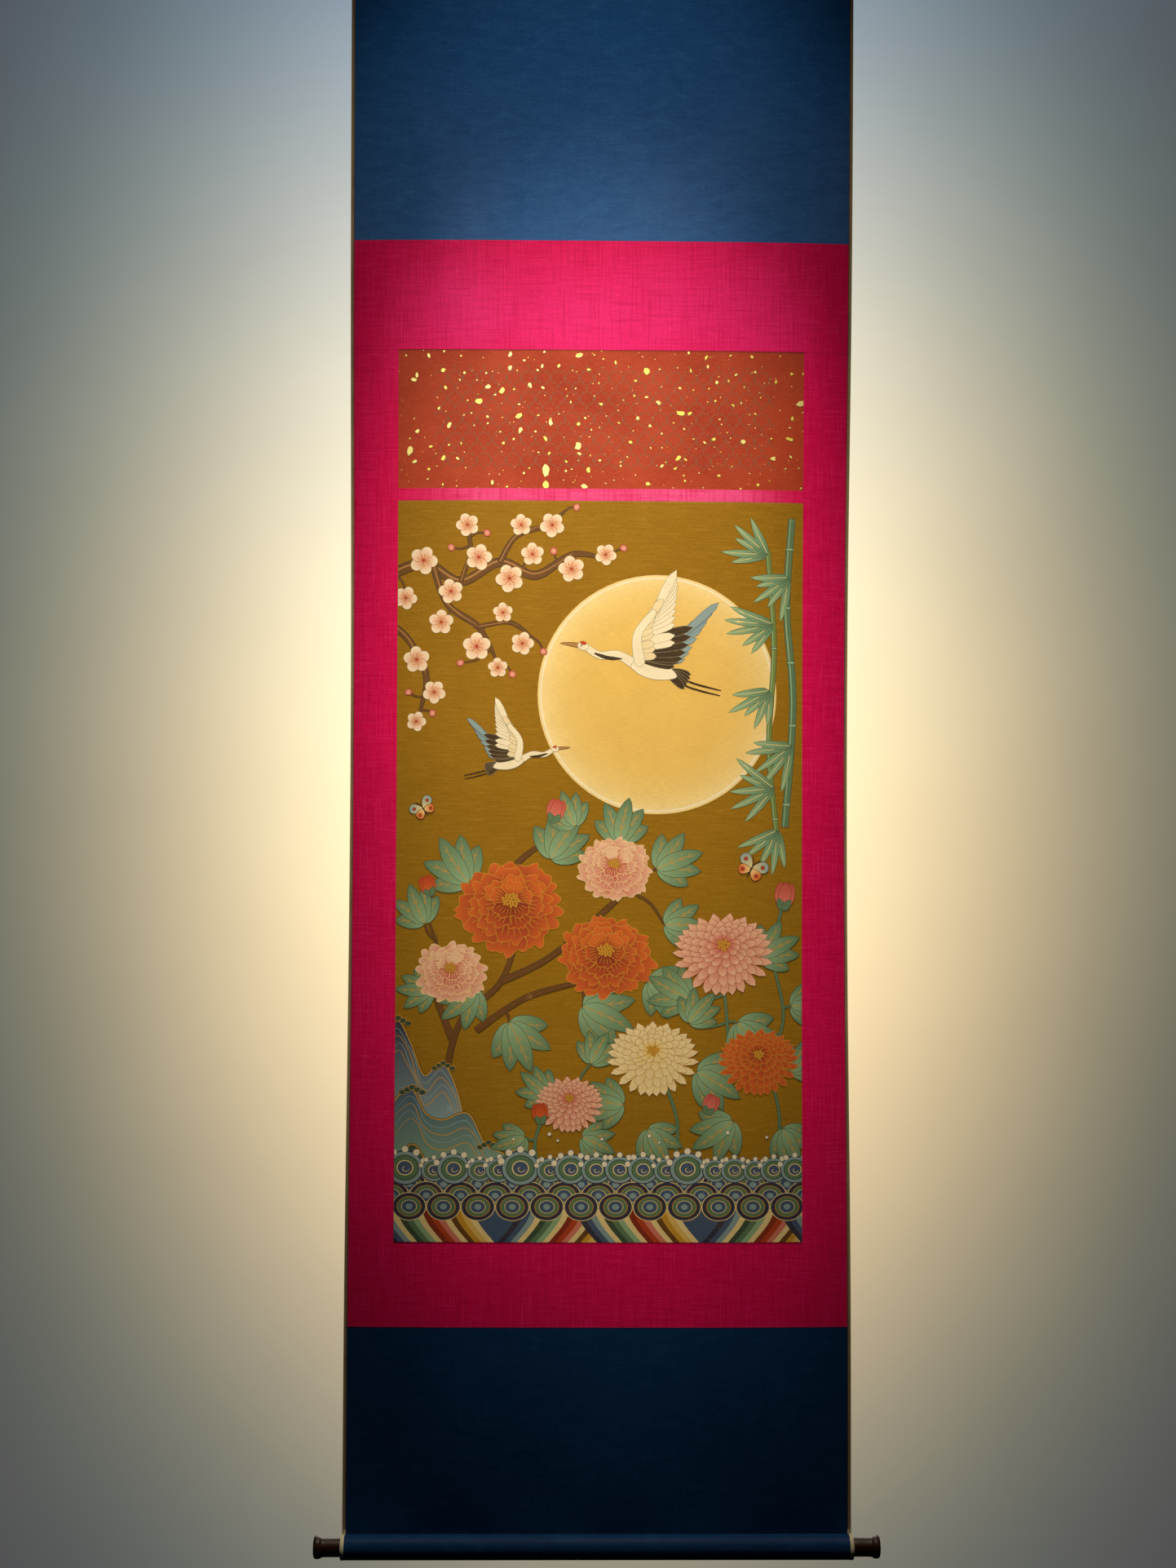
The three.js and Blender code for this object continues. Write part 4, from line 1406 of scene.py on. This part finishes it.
def add_light(name, kind, place, aim, power, colour, narrowing=1.0, **settings):
    lamp = bpy.data.lights.new(name, kind)
    lamp.energy = power
    lamp.color = colour
    for key, value in settings.items():
        setattr(lamp, key, value)
    holder = bpy.data.objects.new(name, lamp)
    scene.collection.objects.link(holder)
    holder.location = place
    holder.rotation_euler = (Vector(aim) - Vector(place)).to_track_quat("-Z", "Y").to_euler()
    holder.scale.x = narrowing
    holder.visible_camera = False


for name, place_at, aim, power, half_angle, narrowing in LAMPS:
    add_light(name, "SPOT", place_at, aim, power, LAMP_COLOUR, narrowing,
              spot_size=2 * math.radians(half_angle), spot_blend=1.0, shadow_soft_size=0.04)
add_light("fill_back", "AREA", FILL_PLACE, (0, 0, -1.0), FILL_POWER, FILL_COLOUR, shape="SQUARE", size=1.6)

world = bpy.data.worlds.new("studio")
scene.world = world
world.use_nodes = True
world.node_tree.nodes["Background"].inputs["Color"].default_value = AMBIENT_COLOUR
world.node_tree.nodes["Background"].inputs["Strength"].default_value = AMBIENT_POWER


def studio_piece(name, points, faces, finish):
    """A part of the studio; only the backdrop throws light on the scroll."""
    mesh = bpy.data.meshes.new(name)
    mesh.from_pydata(points, [], faces)
    mesh.materials.append(finish)
    made = bpy.data.objects.new(name, mesh)
    scene.collection.objects.link(made)
    made.visible_diffuse = made.visible_glossy = name == "studio_backdrop"


corners = [(STUDIO_HALF, BACKDROP_Y), (-STUDIO_HALF, BACKDROP_Y), (-STUDIO_HALF, STUDIO_FRONT),
           (STUDIO_HALF, STUDIO_FRONT)]
low = [(x, y, FLOOR_Z) for x, y in corners]
high = [(x, y, FLOOR_Z + BACKDROP_TALL) for x, y in corners]
studio_piece("studio_backdrop", low + high, [(0, 1, 5, 4)], backdrop_material())
studio_piece("studio_floor", low, [(0, 1, 2, 3)], plaster("floor_plaster", FLOOR_GLOW))
studio_piece("studio_walls", low + high, [(1, 2, 6, 5), (2, 3, 7, 6), (3, 0, 4, 7)],
             plaster("wall_plaster", WALL_GLOW))
